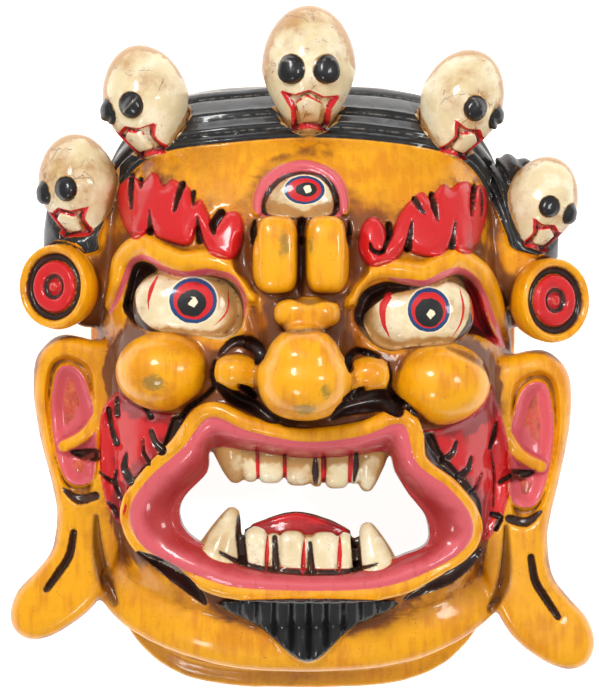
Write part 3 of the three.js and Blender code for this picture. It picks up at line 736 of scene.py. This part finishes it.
def stud(at, turn):
    """A round ear stud: a rim, a sunk ring, a raised disc and a small boss."""
    profile = np.array([(0, 5.5), (0.1, 5.4), (0.16, 2.2), (0.26, 2.2), (0.32, 5), (0.56, 5.2),
                        (0.64, 1), (0.74, 1), (0.82, 5), (0.9, 6.4), (0.97, 5), (1, 0),
                        (0.95, -6), (0.85, -14), (0, -14)], float)
    obj = sphere((96, 90))
    unit = vertices(obj)
    share = np.arccos(np.clip(unit[:, 2], -1, 1)) / math.pi
    marks = np.linspace(0, 1, len(profile))
    radius = np.interp(share, marks, profile[:, 0]) * STUD_RADIUS
    level = np.interp(share, marks, profile[:, 1])
    spread = np.maximum(np.hypot(unit[:, 0], unit[:, 1]), 1e-9)
    flat = np.column_stack([unit[:, 0] / spread * radius, unit[:, 1] / spread * radius, level])
    set_vertices(obj, flat @ turning((0, turn, 0)).T + at)
    return obj


def fine_pieces():
    """The added pieces by the paint that they take."""
    groups = {
        "nose": [nose()],
        "lips": [lip_band()],
        "rim": [lip_rim()],
        "teeth": [teeth()],
        "tongue": [ball((-2, -112, 50), (45, 25.5, 20), form=peaked)],
        "eyes": [lump((-64.5, 24), (32.5, 21.5, 19), lift=-15, squareness=2.5),
                 lump((66.5, 18.5), (33, 21, 19), lift=-15, turn=(0, 0, 7), squareness=2.5),
                 lump((-0.5, 85), (21.5, 17, 8), lift=-3)],
        "pads": [lump((-13.6, 53.5), (11.6, 22, 14.5), lift=4, squareness=4),
                 lump((-15.4, 50), (12.4, 18, 11), lift=4, squareness=3),
                 lump((14.3, 53.5), (11.6, 22, 14.5), lift=4, squareness=4),
                 lump((15.4, 50), (12, 18, 11), lift=4, squareness=3)],
        "arch": [roll([(-25, 76), (-24, 86), (-19.5, 95.6), (-10.5, 102.4), (1, 105), (12, 102),
                       (20, 95.4), (24, 86), (24.8, 76)], width=[2.4, 3, 3.4, 3.8, 3.9, 3.6, 3.2,
                      2.8, 2.4], height=4.4, lift=1, fullness=8)],
        "tragus": [roll(ear_outline(side, TRAGUS), [4.4, 3.6, 2.8, 1.8], 6, lift=-4, ground=ear_level)
                   for side in (-1, 1)],
        "skulls": [skull_head(**skull) for skull in SKULLS],
        "skull_eyes": [skull_eyes(**skull) for skull in SKULLS],
        "studs": [stud(**place) for place in STUDS],
    }
    return {name: joined(objects, name) for name, objects in groups.items()}


def skull_local(places, at, size, turn):
    return (places - at) @ turning(turn) / size


# ---- fine carving -------------------------------------------------------------------------------
def fine_carving(obj, trees):
    places = vertices(obj) / MM
    way = normals(obj)
    cut_ears(places, way)
    comb_hair(places, way, trees)
    for outline in (BROW_LEFT, BROW_RIGHT):
        field(places, way, outline, BROW_EDGE_RISE, soft=1.8)
        field(places, way, outline, BROW_MIDDLE_RISE, soft=7)
    for outline in (FLAME_LEFT, FLAME_RIGHT):
        field(places, way, outline, FLAME_RISE, soft=1.6)
    for outline in (SHADOW_LEFT, SHADOW_RIGHT):
        field(places, way, outline, -DARK_CORNER_DEPTH, soft=3)
    comb_beard(places, way)
    for skull in SKULLS:
        carve_skull(places, way, skull)
    for path, half, depth in NOTCHES + CREASES + TOOTH_STAINS_AND_SHADE:
        stroke(places, way, path, half, depth, sharp=0.8)
    for path, half in GUM_LINES:
        stroke(places, way, path, half, 1)
    stroke(places, way, TONGUE_RIDGE, 2, -1)
    places += way * uneven(places)[:, None]
    set_vertices(obj, places)
    return obj


def uneven(places):
    """The slight waves that a knife leaves in the wood."""
    return np.array([0.35 * noise.noise(spot / 22) + 0.16 * noise.noise(spot / 7)
                     for spot in map(Vector, places)])


def cut_ears(places, way):
    for side in (-1, 1):
        ear = np.flatnonzero((places[:, 0] * side > 117.5) & (way[:, 2] > 0))
        spot = places[ear]
        basin = depth_inside(spot[:, :2], ear_outline(side, CONCHA))
        floor = depth_inside(spot[:, :2], ear_outline(side, EAR_FLOOR))
        high = spot[:, 2] > ear_level(spot[:, 0], spot[:, 1]) - 12
        sink = smooth_step(basin / 3.5) * 7 - smooth_step((floor + 1.6) / 1.8) * 4.5 + smooth_step(
            floor / 9) * 6.5
        gap, _ = nearest(spot[:, :2], line(ear_outline(side, TRAGUS)))
        spot[:, 2] -= sink * high * smooth_step((gap - 2.8) / 2.5)
        places[ear] = spot
        stroke(places, way, ear_outline(side, EAR_SLIT), [2.4, 2.8, 2.8, 2.2], 5)
        stroke(places, way, ear_outline(side, EAR_SHADOW), [4.4, 4, 2], 5)
        stroke(places, way, ear_outline(side, EAR_CRESCENT), [2, 3.4, 3], 4)


def gap_to(tree, places, far=GAP_LIMIT):
    """Distance to a surface, up to a limit."""
    gaps = [tree.find_nearest(spot, far)[3] for spot in places.tolist()]
    return np.array([far if gap is None else gap for gap in gaps])


def comb_hair(places, way, trees):
    inner = depth_inside(places[:, :2], HAIR)
    hair = np.flatnonzero((inner > -1) & (way[:, 2] > -0.3) & (places[:, 2] > 12))
    apart = np.minimum(gap_to(trees["skulls"], places[hair]), gap_to(trees["studs"], places[hair]))
    share, width = hair_share(places[hair, :2])
    lift = smooth_step((inner[hair] + 1) / 1.5) * HAIR_RISE
    room = smooth_step((width - 7) / 9)
    for mark in HAIR_MARKS:
        away = (share - mark) * width
        lift -= room * HAIR_GROOVE * np.clip(1 - np.abs(away) / 1.6, 0, 1) ** 1.3
        lift += room * 1.1 * np.clip(1 - np.abs(away - 2.6) / 1.5, 0, 1)
    places[hair] += way[hair] * (lift * smooth_step((apart - 0.6) / 1.4))[:, None]


def comb_beard(places, way):
    inner = depth_inside(places[:, :2], BEARD)
    beard = np.flatnonzero((inner > -1) & (way[:, 2] > -0.2))
    ridge = np.abs(((places[beard, 0] - BEARD[0][0]) / BEARD_PITCH) % 1 - 0.5) * 2
    rise = BEARD_RISE - BEARD_GROOVE * ridge ** 2.5
    places[beard, 2] += smooth_step((inner[beard] + 1) / 2) * rise


def carve_skull(places, way, skull):
    local = skull_local(places, **skull)
    near = np.flatnonzero((np.abs(local) < np.array(SKULL_RADII) + 3).all(axis=1)
                          & (local[:, 2] > 2))
    spot = local[near]
    frame_depth = depth_inside(spot[:, :2], SKULL_MOUTH, steps=1)
    plate_depth = depth_inside(spot[:, :2], SKULL_PLATE, steps=1)
    sink = 3.4 * smooth_step((frame_depth - 0.6) / 1.4) - 3 * smooth_step((plate_depth + 1) / 1.4)
    places[near] -= way[near] * (sink * skull["size"])[:, None]


# ---- the carved mask ----------------------------------------------------------------------------
def mouth_tool():
    path = line(MOUTH, closed=True)[:-1]
    bpy.ops.mesh.primitive_cylinder_add(vertices=len(path), radius=1, depth=2)
    obj = bpy.context.object
    unit = vertices(obj)
    turn = np.arctan2(unit[:, 0], unit[:, 1]) / (2 * math.pi) % 1
    index = np.rint(turn * len(path)).astype(int) % len(path)
    set_vertices(obj, np.column_stack([path[index], unit[:, 2] * 240]))
    bpy.ops.object.mode_set(mode="EDIT")
    bpy.ops.mesh.select_all(action="SELECT")
    bpy.ops.mesh.quads_convert_to_tris()
    bpy.ops.mesh.normals_make_consistent(inside=False)
    bpy.ops.object.mode_set(mode="OBJECT")
    return obj


def underneath():
    bpy.ops.mesh.primitive_cube_add(size=2)
    obj = bpy.context.object
    set_vertices(obj, vertices(obj) * (400, 400, 100) - (0, 0, 100))
    return obj


def tree_of(obj):
    """A search tree of an object's surface, in millimetres."""
    places = (vertices(obj) / MM).tolist()
    return BVHTree.FromPolygons(places, [list(face.vertices) for face in obj.data.polygons])


def carved_mask():
    block = rough_carving(rough_block())
    cut(block, mouth_tool())
    groups = fine_pieces()
    trees = {name: tree_of(obj) for name, obj in groups.items()}
    trees["block"] = tree_of(block)
    mask = joined([block, *groups.values()], "mask_carving")
    mask = grown_together(mask, FINE_GRAIN)
    modified(mask, "SMOOTH", factor=0.5, iterations=2)
    fine_carving(mask, trees)
    modified(mask, "SMOOTH", factor=0.5, iterations=1)
    count = len(mask.data.polygons) * 2
    modified(mask, "DECIMATE", ratio=min(1, FACES_AT_MOST / count))
    hollow = dome(HOLLOW, foot=-60, detail=(160, 64))
    trees["hollow"] = tree_of(hollow)
    cut(mask, hollow)
    cut(mask, underneath())
    return mask, trees


mask, trees = carved_mask()


# ---- where each paint lies ----------------------------------------------------------------------
PAINTS = ("yellow", "ivory", "pink", "red", "dark", "black")  # laid over each other in this order


def laid_on(layers):
    """How deep inside each paint every place is, in millimetres, for layers from first to last.
    A layer takes away what lies under it of the paints that would otherwise cover it."""
    depths = {}
    for paint in PAINTS[1:]:
        total = np.full(len(layers[0][1]), -30.0)
        for index, (name, inner) in enumerate(layers):
            if name != paint:
                continue
            for later, cover in layers[index + 1:]:
                if PAINTS.index(later) < PAINTS.index(paint):
                    inner = np.minimum(inner, -cover)
            total = np.maximum(total, inner)
        depths[paint] = total
    return depths


def inside_strokes(xy, strokes, far=-30.0):
    """How deep inside the nearest stroke each place is."""
    result = np.full(len(xy), far)
    for path, half, *_ in strokes:
        track = line(path)
        close = np.flatnonzero(((xy > track.min(0) - 8) & (xy < track.max(0) + 8)).all(axis=1))
        gap, share = nearest(xy[close], track)
        width = np.interp(share, np.linspace(0, 1, len(half)), half)
        result[close] = np.maximum(result[close], width - gap)
    return result


def painted_lines(xy):
    """The signed distance to the nearest painted line, and its half width there."""
    offset = np.full(len(xy), 6.0)
    width = np.full(len(xy), -10.0)
    for path, half in VEINS + GUM_LINES:
        track = line(path)
        close = np.flatnonzero(((xy > track.min(0) - 4) & (xy < track.max(0) + 4)).all(axis=1))
        side, share = beside(xy[close], track)
        nearer = np.abs(side) < np.minimum(4, np.abs(offset[close]))
        offset[close[nearer]] = side[nearer]
        width[close[nearer]] = np.interp(share[nearer], np.linspace(0, 1, len(half)), half)
    return offset, width


def neighbour_mean(values, edges, count):
    total = np.zeros_like(values)
    np.add.at(total, edges[:, 0], values[edges[:, 1]])
    np.add.at(total, edges[:, 1], values[edges[:, 0]])
    return total / count.reshape(-1, *[1] * (values.ndim - 1))


def bend_of(obj, places, way, passes=2):
    """How hollow (positive) or sharp (negative) the surface is at each vertex."""
    flat = np.empty(len(obj.data.edges) * 2, np.int32)
    obj.data.edges.foreach_get("vertices", flat)
    edges = flat.reshape(-1, 2)
    count = np.maximum(np.bincount(edges.ravel(), minlength=len(places)), 1)
    length = np.linalg.norm(places[edges[:, 0]] - places[edges[:, 1]], axis=1)
    spacing = (np.bincount(edges[:, 0], length, len(places))
               + np.bincount(edges[:, 1], length, len(places))) / count
    toward = neighbour_mean(places, edges, count) - places
    bend = (toward * way).sum(axis=1) / np.maximum(spacing, 0.3) ** 2
    for _ in range(passes):
        bend = (bend + neighbour_mean(bend, edges, count)) / 2
    return bend


def sunk_below(places, way, spread):
    """How far each place lies below the mean level round it, seen from the front."""
    grain = 2.0
    index = np.rint((places[:, :2] + (190, 220)) / grain).astype(int)
    shape = (191, 221)
    front = way[:, 2] > 0.1
    level = np.full(shape, -1e3)
    np.maximum.at(level, tuple(index[front].T), places[front, 2])
    known = (level > -1e2).astype(float)
    level = np.where(known > 0, level, 0)
    for _ in range(3):
        reach_cells = max(1, round(spread / grain))
        for axis in (0, 1):
            for grid in (level, known):
                total = sum(np.roll(grid, shift, axis)
                            for shift in range(-reach_cells, reach_cells + 1))
                grid[:] = total
    mean = level / np.maximum(known, 1e-9)
    return mean[tuple(index.T)] - places[:, 2]


def layers_of_paint(xy, z, way, gaps, places):
    """Every painted field from the first coat to the last touches."""
    def owned(name):
        others = np.minimum.reduce([gap for other, gap in gaps.items() if other != name])
        return others - gaps[name]

    up = (way[:, 2] - 0.05) * 30
    layers = [("black", np.minimum(depth_inside(xy, HAIR), z - 4)), ("yellow", owned("studs")),
              ("ivory", owned("skulls")), ("black", owned("skull_eyes"))]
    near_skull = 3 - gaps["skulls"]
    for skull in SKULLS:
        local = skull_local(places, **skull)
        ahead = np.minimum(near_skull, local[:, 2] - 2)
        mouth = depth_inside(local[:, :2], SKULL_MOUTH, steps=1)
        tooth_plate = depth_inside(local[:, :2], SKULL_PLATE, steps=1)
        layers += [("red", np.minimum(ahead, mouth)), ("dark", np.minimum(ahead, mouth - 1.9)),
                   ("red", np.minimum(ahead, tooth_plate + 1.1)),
                   ("ivory", np.minimum(ahead, tooth_plate))]
    for place in STUDS:
        local = (places - place["at"]) @ turning((0, place["turn"], 0))
        radius = np.hypot(local[:, 0], local[:, 1])
        front = np.minimum(3 - gaps["studs"], local[:, 2] + 3)
        layers += [("dark", np.minimum(front, 19.8 - radius)), ("red", np.minimum(front, 15.4 - radius)),
                   ("dark", np.minimum(front, 7.4 - radius)), ("red", np.minimum(front, 5 - radius))]
    for side in (-1, 1):
        floor = depth_inside(xy, ear_outline(side, EAR_FLOOR))
        layers += [("pink", np.minimum(floor, up)),
                   ("dark", inside_strokes(xy, [(ear_outline(side, EAR_SHADOW), [4, 3.6, 1]),
                                                (ear_outline(side, EAR_CRESCENT), [1, 3, 2.6]),
                                                (ear_outline(side, EAR_SLIT), [2, 2.4, 2.4, 2])]))]
        beak, _ = nearest(xy, line(ear_outline(side, TRAGUS)))
        layers += [("yellow", np.minimum(3.4 - beak, up))]
    # the eye sockets round the ivory take the dark fill: partly painted shade under the lids
    layers += [("dark", np.minimum(depth_inside(xy, EYE_LEFT) - 0.6, up)),
               ("dark", np.minimum(depth_inside(xy, EYE_RIGHT) - 0.6, up)),
               ("ivory", depth_inside(xy, IVORY_LEFT)), ("ivory", depth_inside(xy, IVORY_RIGHT)),
               ("red", depth_inside(xy, RED_CORNER)), ("pink", inside_strokes(xy, LIDS)),
               ("pink", np.minimum(depth_inside(xy, THIRD_EYE), up)),
               ("dark", depth_inside(xy, THIRD_RING)), ("ivory", depth_inside(xy, THIRD_LENS)),
               ("yellow", owned("pads")),
               *[("red", depth_inside(xy, outline))
                 for outline in (BROW_LEFT, BROW_RIGHT, FLAME_LEFT, FLAME_RIGHT)],
               # the sunk corners beside the flames: painted shadow
               *[("dark", depth_inside(xy, outline)) for outline in (SHADOW_LEFT, SHADOW_RIGHT)],
               ("yellow", owned("rim"))]
    # the inner wall of the mouth opening takes the dark fill: partly painted shade inside the opening
    wall = np.minimum(depth_inside(xy, MOUTH) + 6, skin(*xy.T) - 11.5 - z)
    layers += [("pink", np.minimum(depth_inside(xy, LIP_EDGE), z - 30)), ("dark", wall),
               ("ivory", owned("teeth")), ("red", owned("tongue")),
               # the gaps between the teeth: partly stain, partly painted shade on one side of each tooth
               ("dark", inside_strokes(xy, NOTCHES)), ("dark", inside_strokes(xy, TOOTH_STAINS_AND_SHADE)),
               ("black", np.minimum(depth_inside(xy, BEARD), up))]
    return layers


def mark_paint(obj, trees):
    """Writes where each paint, wash, wear, painted shade and painted highlight lies on the carving as
    attributes of its vertices.
    """
    places = vertices(obj) / MM
    way = normals(obj)
    xy, z = places[:, :2], places[:, 2]
    gaps = {name: gap_to(tree, places) for name, tree in trees.items() if name != "hollow"}
    marks = laid_on(layers_of_paint(xy, z, way, gaps, places))
    marks["lip"] = depth_inside(xy, LIP_EDGE)
    hair = (depth_inside(xy, HAIR) > -2) & (gaps["skulls"] > 1)
    marks["hair"] = np.where(hair, hair_share(xy)[0], -1)
    marks["line"], marks["line_width"] = painted_lines(xy)
    for name in ("iris", "pupil", "spot"):
        marks[name] = np.full(len(xy), 9.0)
    for iris in IRISES:
        x, y, width, height = iris["pupil"]
        a, b, radius = iris["spot"]
        for name, centre, half in (("iris", iris["at"], iris["half"]),
                                   ("pupil", (x, y), (width, height)), ("spot", (a, b), radius)):
            marks[name] = np.minimum(marks[name], np.linalg.norm((xy - centre) / half, axis=1))
    marks["bend"] = bend_of(obj, places, way)
    # sunk and deep: how far a place lies below its surroundings, which the paint darkens as brown wash
    # and as painted shade
    raised = smooth_step((z - 12) / 20)
    marks["sunk"] = np.clip(sunk_below(places, way, 4), -12, 12) * raised
    marks["deep"] = np.clip(sunk_below(places, way, 12), -25, 25) * raised
    marks["rub"] = sum(np.exp(-((xy[:, 0] - x) / wide) ** 2 - ((xy[:, 1] - y) / tall) ** 2)
                       for x, y, wide, tall in RUBBED)
    # broad patches: positive ones darken the yellow as brown wash and painted shade, negative ones
    # brighten it as painted highlight
    marks["painted_shade_and_wash"] = sum(strength * np.exp(-((xy[:, 0] - x) / wide) ** 2 - ((xy[:, 1] - y) / tall) ** 2)
                         for x, y, wide, tall, strength in PAINTED_SHADE_AND_WASH)
    marks["crease"] = inside_strokes(xy, [(path, np.array(half) * 1.5) for path, half, _ in CREASES])
    marks["skull"] = 3 - gaps["skulls"]
    marks["raw"] = 2 - np.minimum(gap_to(trees["hollow"], places), np.where(z < 0.5, 0, 8))
    for name, values in marks.items():
        attribute = obj.data.attributes.new(name, "FLOAT", "POINT")
        attribute.data.foreach_set("value", np.ascontiguousarray(values, np.float32))


mark_paint(mask, trees)


# ---- the paint ----------------------------------------------------------------------------------
class Value:
    """A shader socket that takes part in sums."""

    def __init__(self, finish, socket):
        self.finish = finish
        self.socket = socket

    def __add__(self, other):
        return self.finish.sum("ADD", self, other)

    def __sub__(self, other):
        return self.finish.sum("SUBTRACT", self, other)

    def __rsub__(self, other):
        return self.finish.sum("SUBTRACT", other, self)

    def __mul__(self, other):
        return self.finish.sum("MULTIPLY", self, other)

    __radd__ = __add__
    __rmul__ = __mul__


class Finish:
    """A material in the making."""

    def __init__(self, name):
        self.material = bpy.data.materials.new(name)
        self.material.use_nodes = True
        self.nodes = self.material.node_tree.nodes
        self.links = self.material.node_tree.links
        self.shader = self.nodes["Principled BSDF"]
        self.object = self.node("ShaderNodeTexCoord", output="Object")

    def node(self, kind, settings=None, output=0, **inputs):
        """Adds a node. Inputs are named by their sockets, with _ for a space, or by _ and a number."""
        node = self.nodes.new(kind)
        for name, value in (settings or {}).items():
            setattr(node, name, value)
        for name, value in inputs.items():
            key = int(name[1:]) if name[0] == "_" else name.replace("_", " ")
            self.feed(node.inputs[key], value)
        return Value(self, node.outputs[output])

    def feed(self, socket, value):
        if isinstance(value, Value):
            self.links.new(value.socket, socket)
        else:
            socket.default_value = value

    def sum(self, operation, *values):
        inputs = {f"_{index}": value for index, value in enumerate(values)}
        return self.node("ShaderNodeMath", {"operation": operation}, **inputs)

    def larger(self, a, b):
        return self.sum("MAXIMUM", a, b)

    def step(self, value, low, high, top=1.0):
        """A soft step from 0 at low to top at high."""
        return self.node("ShaderNodeMapRange", {"interpolation_type": "SMOOTHSTEP"}, Value=value,
                         From_Min=low, From_Max=high, To_Min=0.0, To_Max=top)

    def mark(self, name):
        return self.node("ShaderNodeAttribute", {"attribute_name": name}, output="Fac")

    def noise(self, scale, detail=4.0, stretch=(1, 1, 1), roughness=0.55):
        place = self.object
        if stretch != (1, 1, 1):
            place = self.node("ShaderNodeMapping", Vector=self.object, Scale=stretch)
        return self.node("ShaderNodeTexNoise", Vector=place, Scale=scale, Detail=detail,
                         Roughness=roughness)

    def mix(self, under, over, share):
        return self.node("ShaderNodeMix", {"data_type": "RGBA"}, output=2, _0=share, _6=under,
                         _7=over)


def colour(red, green, blue):
    """A colour by its screen values from 0 to 255."""
    return tuple(((value / 255 + 0.055) / 1.055) ** 2.4 for value in (red, green, blue)) + (1.0,)


YELLOW = colour(240, 166, 0)
YELLOW_DEEP = colour(216, 136, 0)
WASH_AND_SHADE_BROWN = colour(156, 76, 4)
UMBER = colour(92, 46, 16)
CREVICE = colour(44, 22, 13)
IVORY = colour(226, 208, 165)
IVORY_PALE = colour(240, 228, 196)
OCHRE = colour(178, 124, 54)
PINK = colour(214, 92, 100)
PINK_DEEP = colour(170, 46, 46)
RED = colour(204, 24, 28)
RED_DEEP = colour(122, 14, 20)
PLUM = colour(48, 24, 26)
BLACK = colour(20, 19, 20)
BLUE = colour(20, 60, 110)
WORN_AND_HIGHLIT = colour(212, 190, 150)
GREY = colour(136, 128, 116)
OLIVE = colour(120, 108, 52)
BARE_WOOD = colour(112, 74, 42)
BARE_DARK = colour(62, 38, 22)


def painted_wood():
    p = Finish("painted_wood")
    blotch = p.noise(34, 6)
    patch = p.noise(90, 5)
    grit = p.noise(420, 4, roughness=0.7)
    brush = p.noise(40, 6, stretch=(6, 1, 3))
    speck = p.noise(900, 2)
    ragged = (grit - 0.5) * 0.9

    def inside(name, soft=0.35, wander=1.0):
        return p.step(p.mark(name) + ragged * wander, -soft, soft)

    bend = p.mark("bend")
    sunk = p.mark("sunk")
    deep = p.mark("deep")
    # darker in tight hollows and creases on every paint: partly brown wash, partly painted shade
    crevice_shade_and_wash = p.step(bend + (grit - 0.5) * 0.12, 0.05, 0.26)
    # darker where the surface lies below its surroundings: partly brown wash, partly painted shade
    low = p.step(sunk + (patch - 0.5) * 5, 0.2, 4.5)
    valley_shade_and_wash = p.step(deep + (blotch - 0.5) * 12, 0, 12)
    # sharp edges, lightened further down as worn paint and as painted highlight
    edge = p.step(bend * -1 + (grit - 0.5) * 0.3 + (patch - 0.5) * 0.2, 0.1, 0.26)

    # yellow with its brown wash, painted shade in hollows and creases and painted highlight on raised
    # parts
    shade_and_wash = p.mark("painted_shade_and_wash") + (blotch - 0.5) * 1.9 + (brush - 0.5) * 0.5 + valley_shade_and_wash * 0.6 + low * 0.5
    yellow = p.mix(YELLOW_DEEP, YELLOW, p.step(brush * 0.4 + blotch * 0.6, 0.38, 0.56))
    yellow = p.mix(yellow, WASH_AND_SHADE_BROWN, p.step(shade_and_wash + (grit - 0.5) * 0.5, 0.0, 1.15, 0.9))
    wear_and_highlight = p.step(p.mark("rub") + (grit - 0.5) * 1.4 + (patch - 0.5) * 0.8, 0.35, 0.9, 0.7)
    yellow = p.mix(yellow, OLIVE, wear_and_highlight)
    crease = p.step(p.mark("crease") + ragged, -1.2, 1.6)
    yellow = p.mix(yellow, UMBER, p.larger(crease * 0.75, low * p.step(shade_and_wash, 0.2, 1.1) * 0.8))
    yellow = p.mix(yellow, CREVICE, crevice_shade_and_wash * 0.85)

    # ivory with ochre stain, deeper in hollows as painted shade, and fine cracks
    ivory = p.mix(IVORY, IVORY_PALE, p.step(patch, 0.4, 0.62))
    stain_and_shade = blotch * 1.5 + patch * 0.7 + low * 0.6 + valley_shade_and_wash * 0.4 + crevice_shade_and_wash * 0.8 - 0.98
    ivory = p.mix(ivory, OCHRE, p.step(stain_and_shade, 0.0, 0.5, 0.9))
    wander = p.noise(70, 3)
    cracks = p.node("ShaderNodeTexVoronoi", {"feature": "DISTANCE_TO_EDGE"}, output="Distance",
                    Vector=p.node("ShaderNodeMix", {"data_type": "VECTOR"}, output=1, _0=0.02,
                                  _4=p.object, _5=wander), Scale=48.0)
    crack = (1 - p.step(cracks, 0.0, 0.016)) * p.step(blotch + (patch - 0.5), 0.5, 0.62) * p.step(
        p.mark("skull"), 0, 2)
    ivory = p.mix(ivory, UMBER, p.larger(crack * 0.7, crevice_shade_and_wash * 0.75))

    # pink, darker towards the teeth and in hollows: painted shade
    lip = p.mark("lip")
    pink = p.mix(PINK, PINK_DEEP, p.step(lip + (patch - 0.5) * 9 + low * 3, 3.5, 13))
    pink = p.mix(pink, RED_DEEP, p.larger(crevice_shade_and_wash * 0.8, p.step(brush, 0.6, 0.75, 0.35)))

    # red, darker at random and in hollows and creases, where the darkening is painted shade
    red = p.mix(RED, RED_DEEP, p.step(blotch + low * 0.45 + (patch - 0.5) * 0.6, 0.55, 1.05, 0.8))
    red = p.mix(red, PLUM, crevice_shade_and_wash * 0.85)

    # dark fill of the recesses, partly painted shadow, and the black of hair and beard with grey lines
    # on its ridges and edges, partly worn paint and partly painted highlight
    dark = p.mix(CREVICE, UMBER, p.step(patch + (grit - 0.5) * 0.6, 0.5, 0.72, 0.8))
    dark = p.mix(dark, PLUM, p.step(blotch, 0.5, 0.6, 0.5))
    hair = p.mark("hair")
    black = BLACK
    # thin grey lines beside the hair grooves and grey on sharp edges: partly worn paint, partly painted
    # highlight
    for mark in HAIR_MARKS:
        off = p.sum("ABSOLUTE", hair - (mark + 0.06) + (patch - 0.5) * 0.02)
        wear_and_highlight = (1 - p.step(off, 0.0, 0.018)) * p.step(brush + grit * 0.4, 0.6, 0.8)
        black = p.mix(black, GREY, wear_and_highlight * 0.75)
    black = p.mix(black, GREY, p.step(edge * p.step(grit, 0.45, 0.65), 0.2, 0.9, 0.6))

    # one over the other
    paint = p.mix(yellow, ivory, inside("ivory", 0.4))
    paint = p.mix(paint, pink, inside("pink", 0.4))
    paint = p.mix(paint, red, inside("red", 0.3, 0.6))
    paint = p.mix(paint, dark, inside("dark", 0.5, 1.4))
    line = p.mark("line_width") - p.sum("ABSOLUTE", p.mark("line"))
    paint = p.mix(paint, red, p.step(line + ragged * 0.4, -0.1, 0.25))
    paint = p.mix(paint, black, inside("black", 0.35, 0.6))

    # the irises
    iris = p.mark("iris")
    pupil = p.mark("pupil")
    paint = p.mix(paint, IVORY_PALE, (1 - p.step(iris, 1.05, 1.1)) * 0.8)
    paint = p.mix(paint, BLUE, 1 - p.step(iris, 0.99, 1.03))
    paint = p.mix(paint, red, 1 - p.step(iris + (grit - 0.5) * 0.05, 0.82, 0.86))
    paint = p.mix(paint, BLACK, 1 - p.step(pupil + (grit - 0.5) * 0.06, 0.97, 1.03))
    paint = p.mix(paint, IVORY_PALE, 1 - p.step(p.mark("spot") + (grit - 0.5) * 0.1, 0.92, 1.02))

    # worn pale edges on red and dark, partly painted highlight, and dirt
    pale = p.larger(inside("red", 0.3), inside("dark", 0.5)) * edge
    paint = p.mix(paint, WORN_AND_HIGHLIT, pale * 0.55)
    soiled = p.step(speck, 0.66, 0.7) * p.step(patch, 0.45, 0.62)
    paint = p.mix(paint, CREVICE, soiled * 0.6)
    bare = p.mix(BARE_WOOD, BARE_DARK, p.step(brush + (blotch - 0.5), 0.35, 0.7))
    raw = p.step(p.mark("raw"), 0.6, 1.2)
    p.feed(p.shader.inputs["Base Color"], p.mix(paint, bare, raw))

    # gloss and the feel of brushed paint
    rough = 0.36 + patch * 0.16 + low * 0.1 + crevice_shade_and_wash * 0.2 + raw * 0.3
    p.feed(p.shader.inputs["Roughness"], rough)
    p.feed(p.shader.inputs["Coat Weight"], (1 - raw) * 0.5)
    p.shader.inputs["Coat Roughness"].default_value = 0.1
    p.shader.inputs["Specular IOR Level"].default_value = 0.3
    surface = brush * 0.5 + grit * 0.35 + patch * 0.5 + raw * brush * 2.5 - crack * 0.5
    bump = p.node("ShaderNodeBump", output="Normal", Height=surface, Strength=0.5, Distance=0.0007)
    p.feed(p.shader.inputs["Normal"], bump)
    return p.material


mask.data.materials.clear()
mask.data.materials.append(painted_wood())
bpy.ops.object.select_all(action="DESELECT")
mask.select_set(True)
bpy.context.view_layer.objects.active = mask
bpy.ops.object.shade_smooth_by_angle(angle=math.radians(60))
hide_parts("mask")
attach(mask, "root")


# ---- stage --------------------------------------------------------------------------------------
def floor():
    """A plain pale floor under the mask."""
    bpy.ops.mesh.primitive_plane_add(size=8)
    obj = bpy.context.object
    obj.name = "floor"
    material = bpy.data.materials.new("pale_floor")
    material.use_nodes = True
    shader = material.node_tree.nodes["Principled BSDF"]
    shader.inputs["Base Color"].default_value = (0.95, 0.95, 0.95, 1)
    shader.inputs["Roughness"].default_value = 0.9
    shader.inputs["Emission Color"].default_value = (1, 1, 1, 1)
    shader.inputs["Emission Strength"].default_value = 0.9
    obj.data.materials.append(material)
    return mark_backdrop(obj)


def camera():
    """A long lens straight above the mask, with the crown at the top of the picture."""
    distance = 3.0
    view_height = 0.4062
    focus_height = 0.05
    bpy.ops.object.camera_add(location=(-0.0009, -0.0003, distance + focus_height))
    obj = bpy.context.object
    obj.data.angle = 2 * math.atan(view_height / 2 / distance)
    bpy.context.scene.camera = obj


def soft_box(place, size, watts):
    """A square lamp that faces the mask."""
    bpy.ops.object.light_add(type="AREA", location=place)
    lamp = bpy.context.object
    lamp.data.size = size
    lamp.data.energy = watts
    toward = -np.array(place)
    lamp.rotation_euler = (math.atan2(math.hypot(toward[0], toward[1]), -toward[2]), 0,
                           math.atan2(-toward[0], toward[1]))


def studio_air():
    """Soft light from all round."""
    world = bpy.data.worlds.new("studio")
    bpy.context.scene.world = world
    world.use_nodes = True
    background = world.node_tree.nodes["Background"]
    background.inputs["Color"].default_value = (1, 1, 1, 1)
    background.inputs["Strength"].default_value = 0.34


floor()
camera()
soft_box((-0.7, 1.1, 2.0), size=0.55, watts=34)
soft_box((1.3, 0.3, 1.8), size=0.5, watts=16)
soft_box((-0.5, -1.4, 1.7), size=0.4, watts=9)
studio_air()
bpy.context.scene.view_settings.view_transform = "Standard"
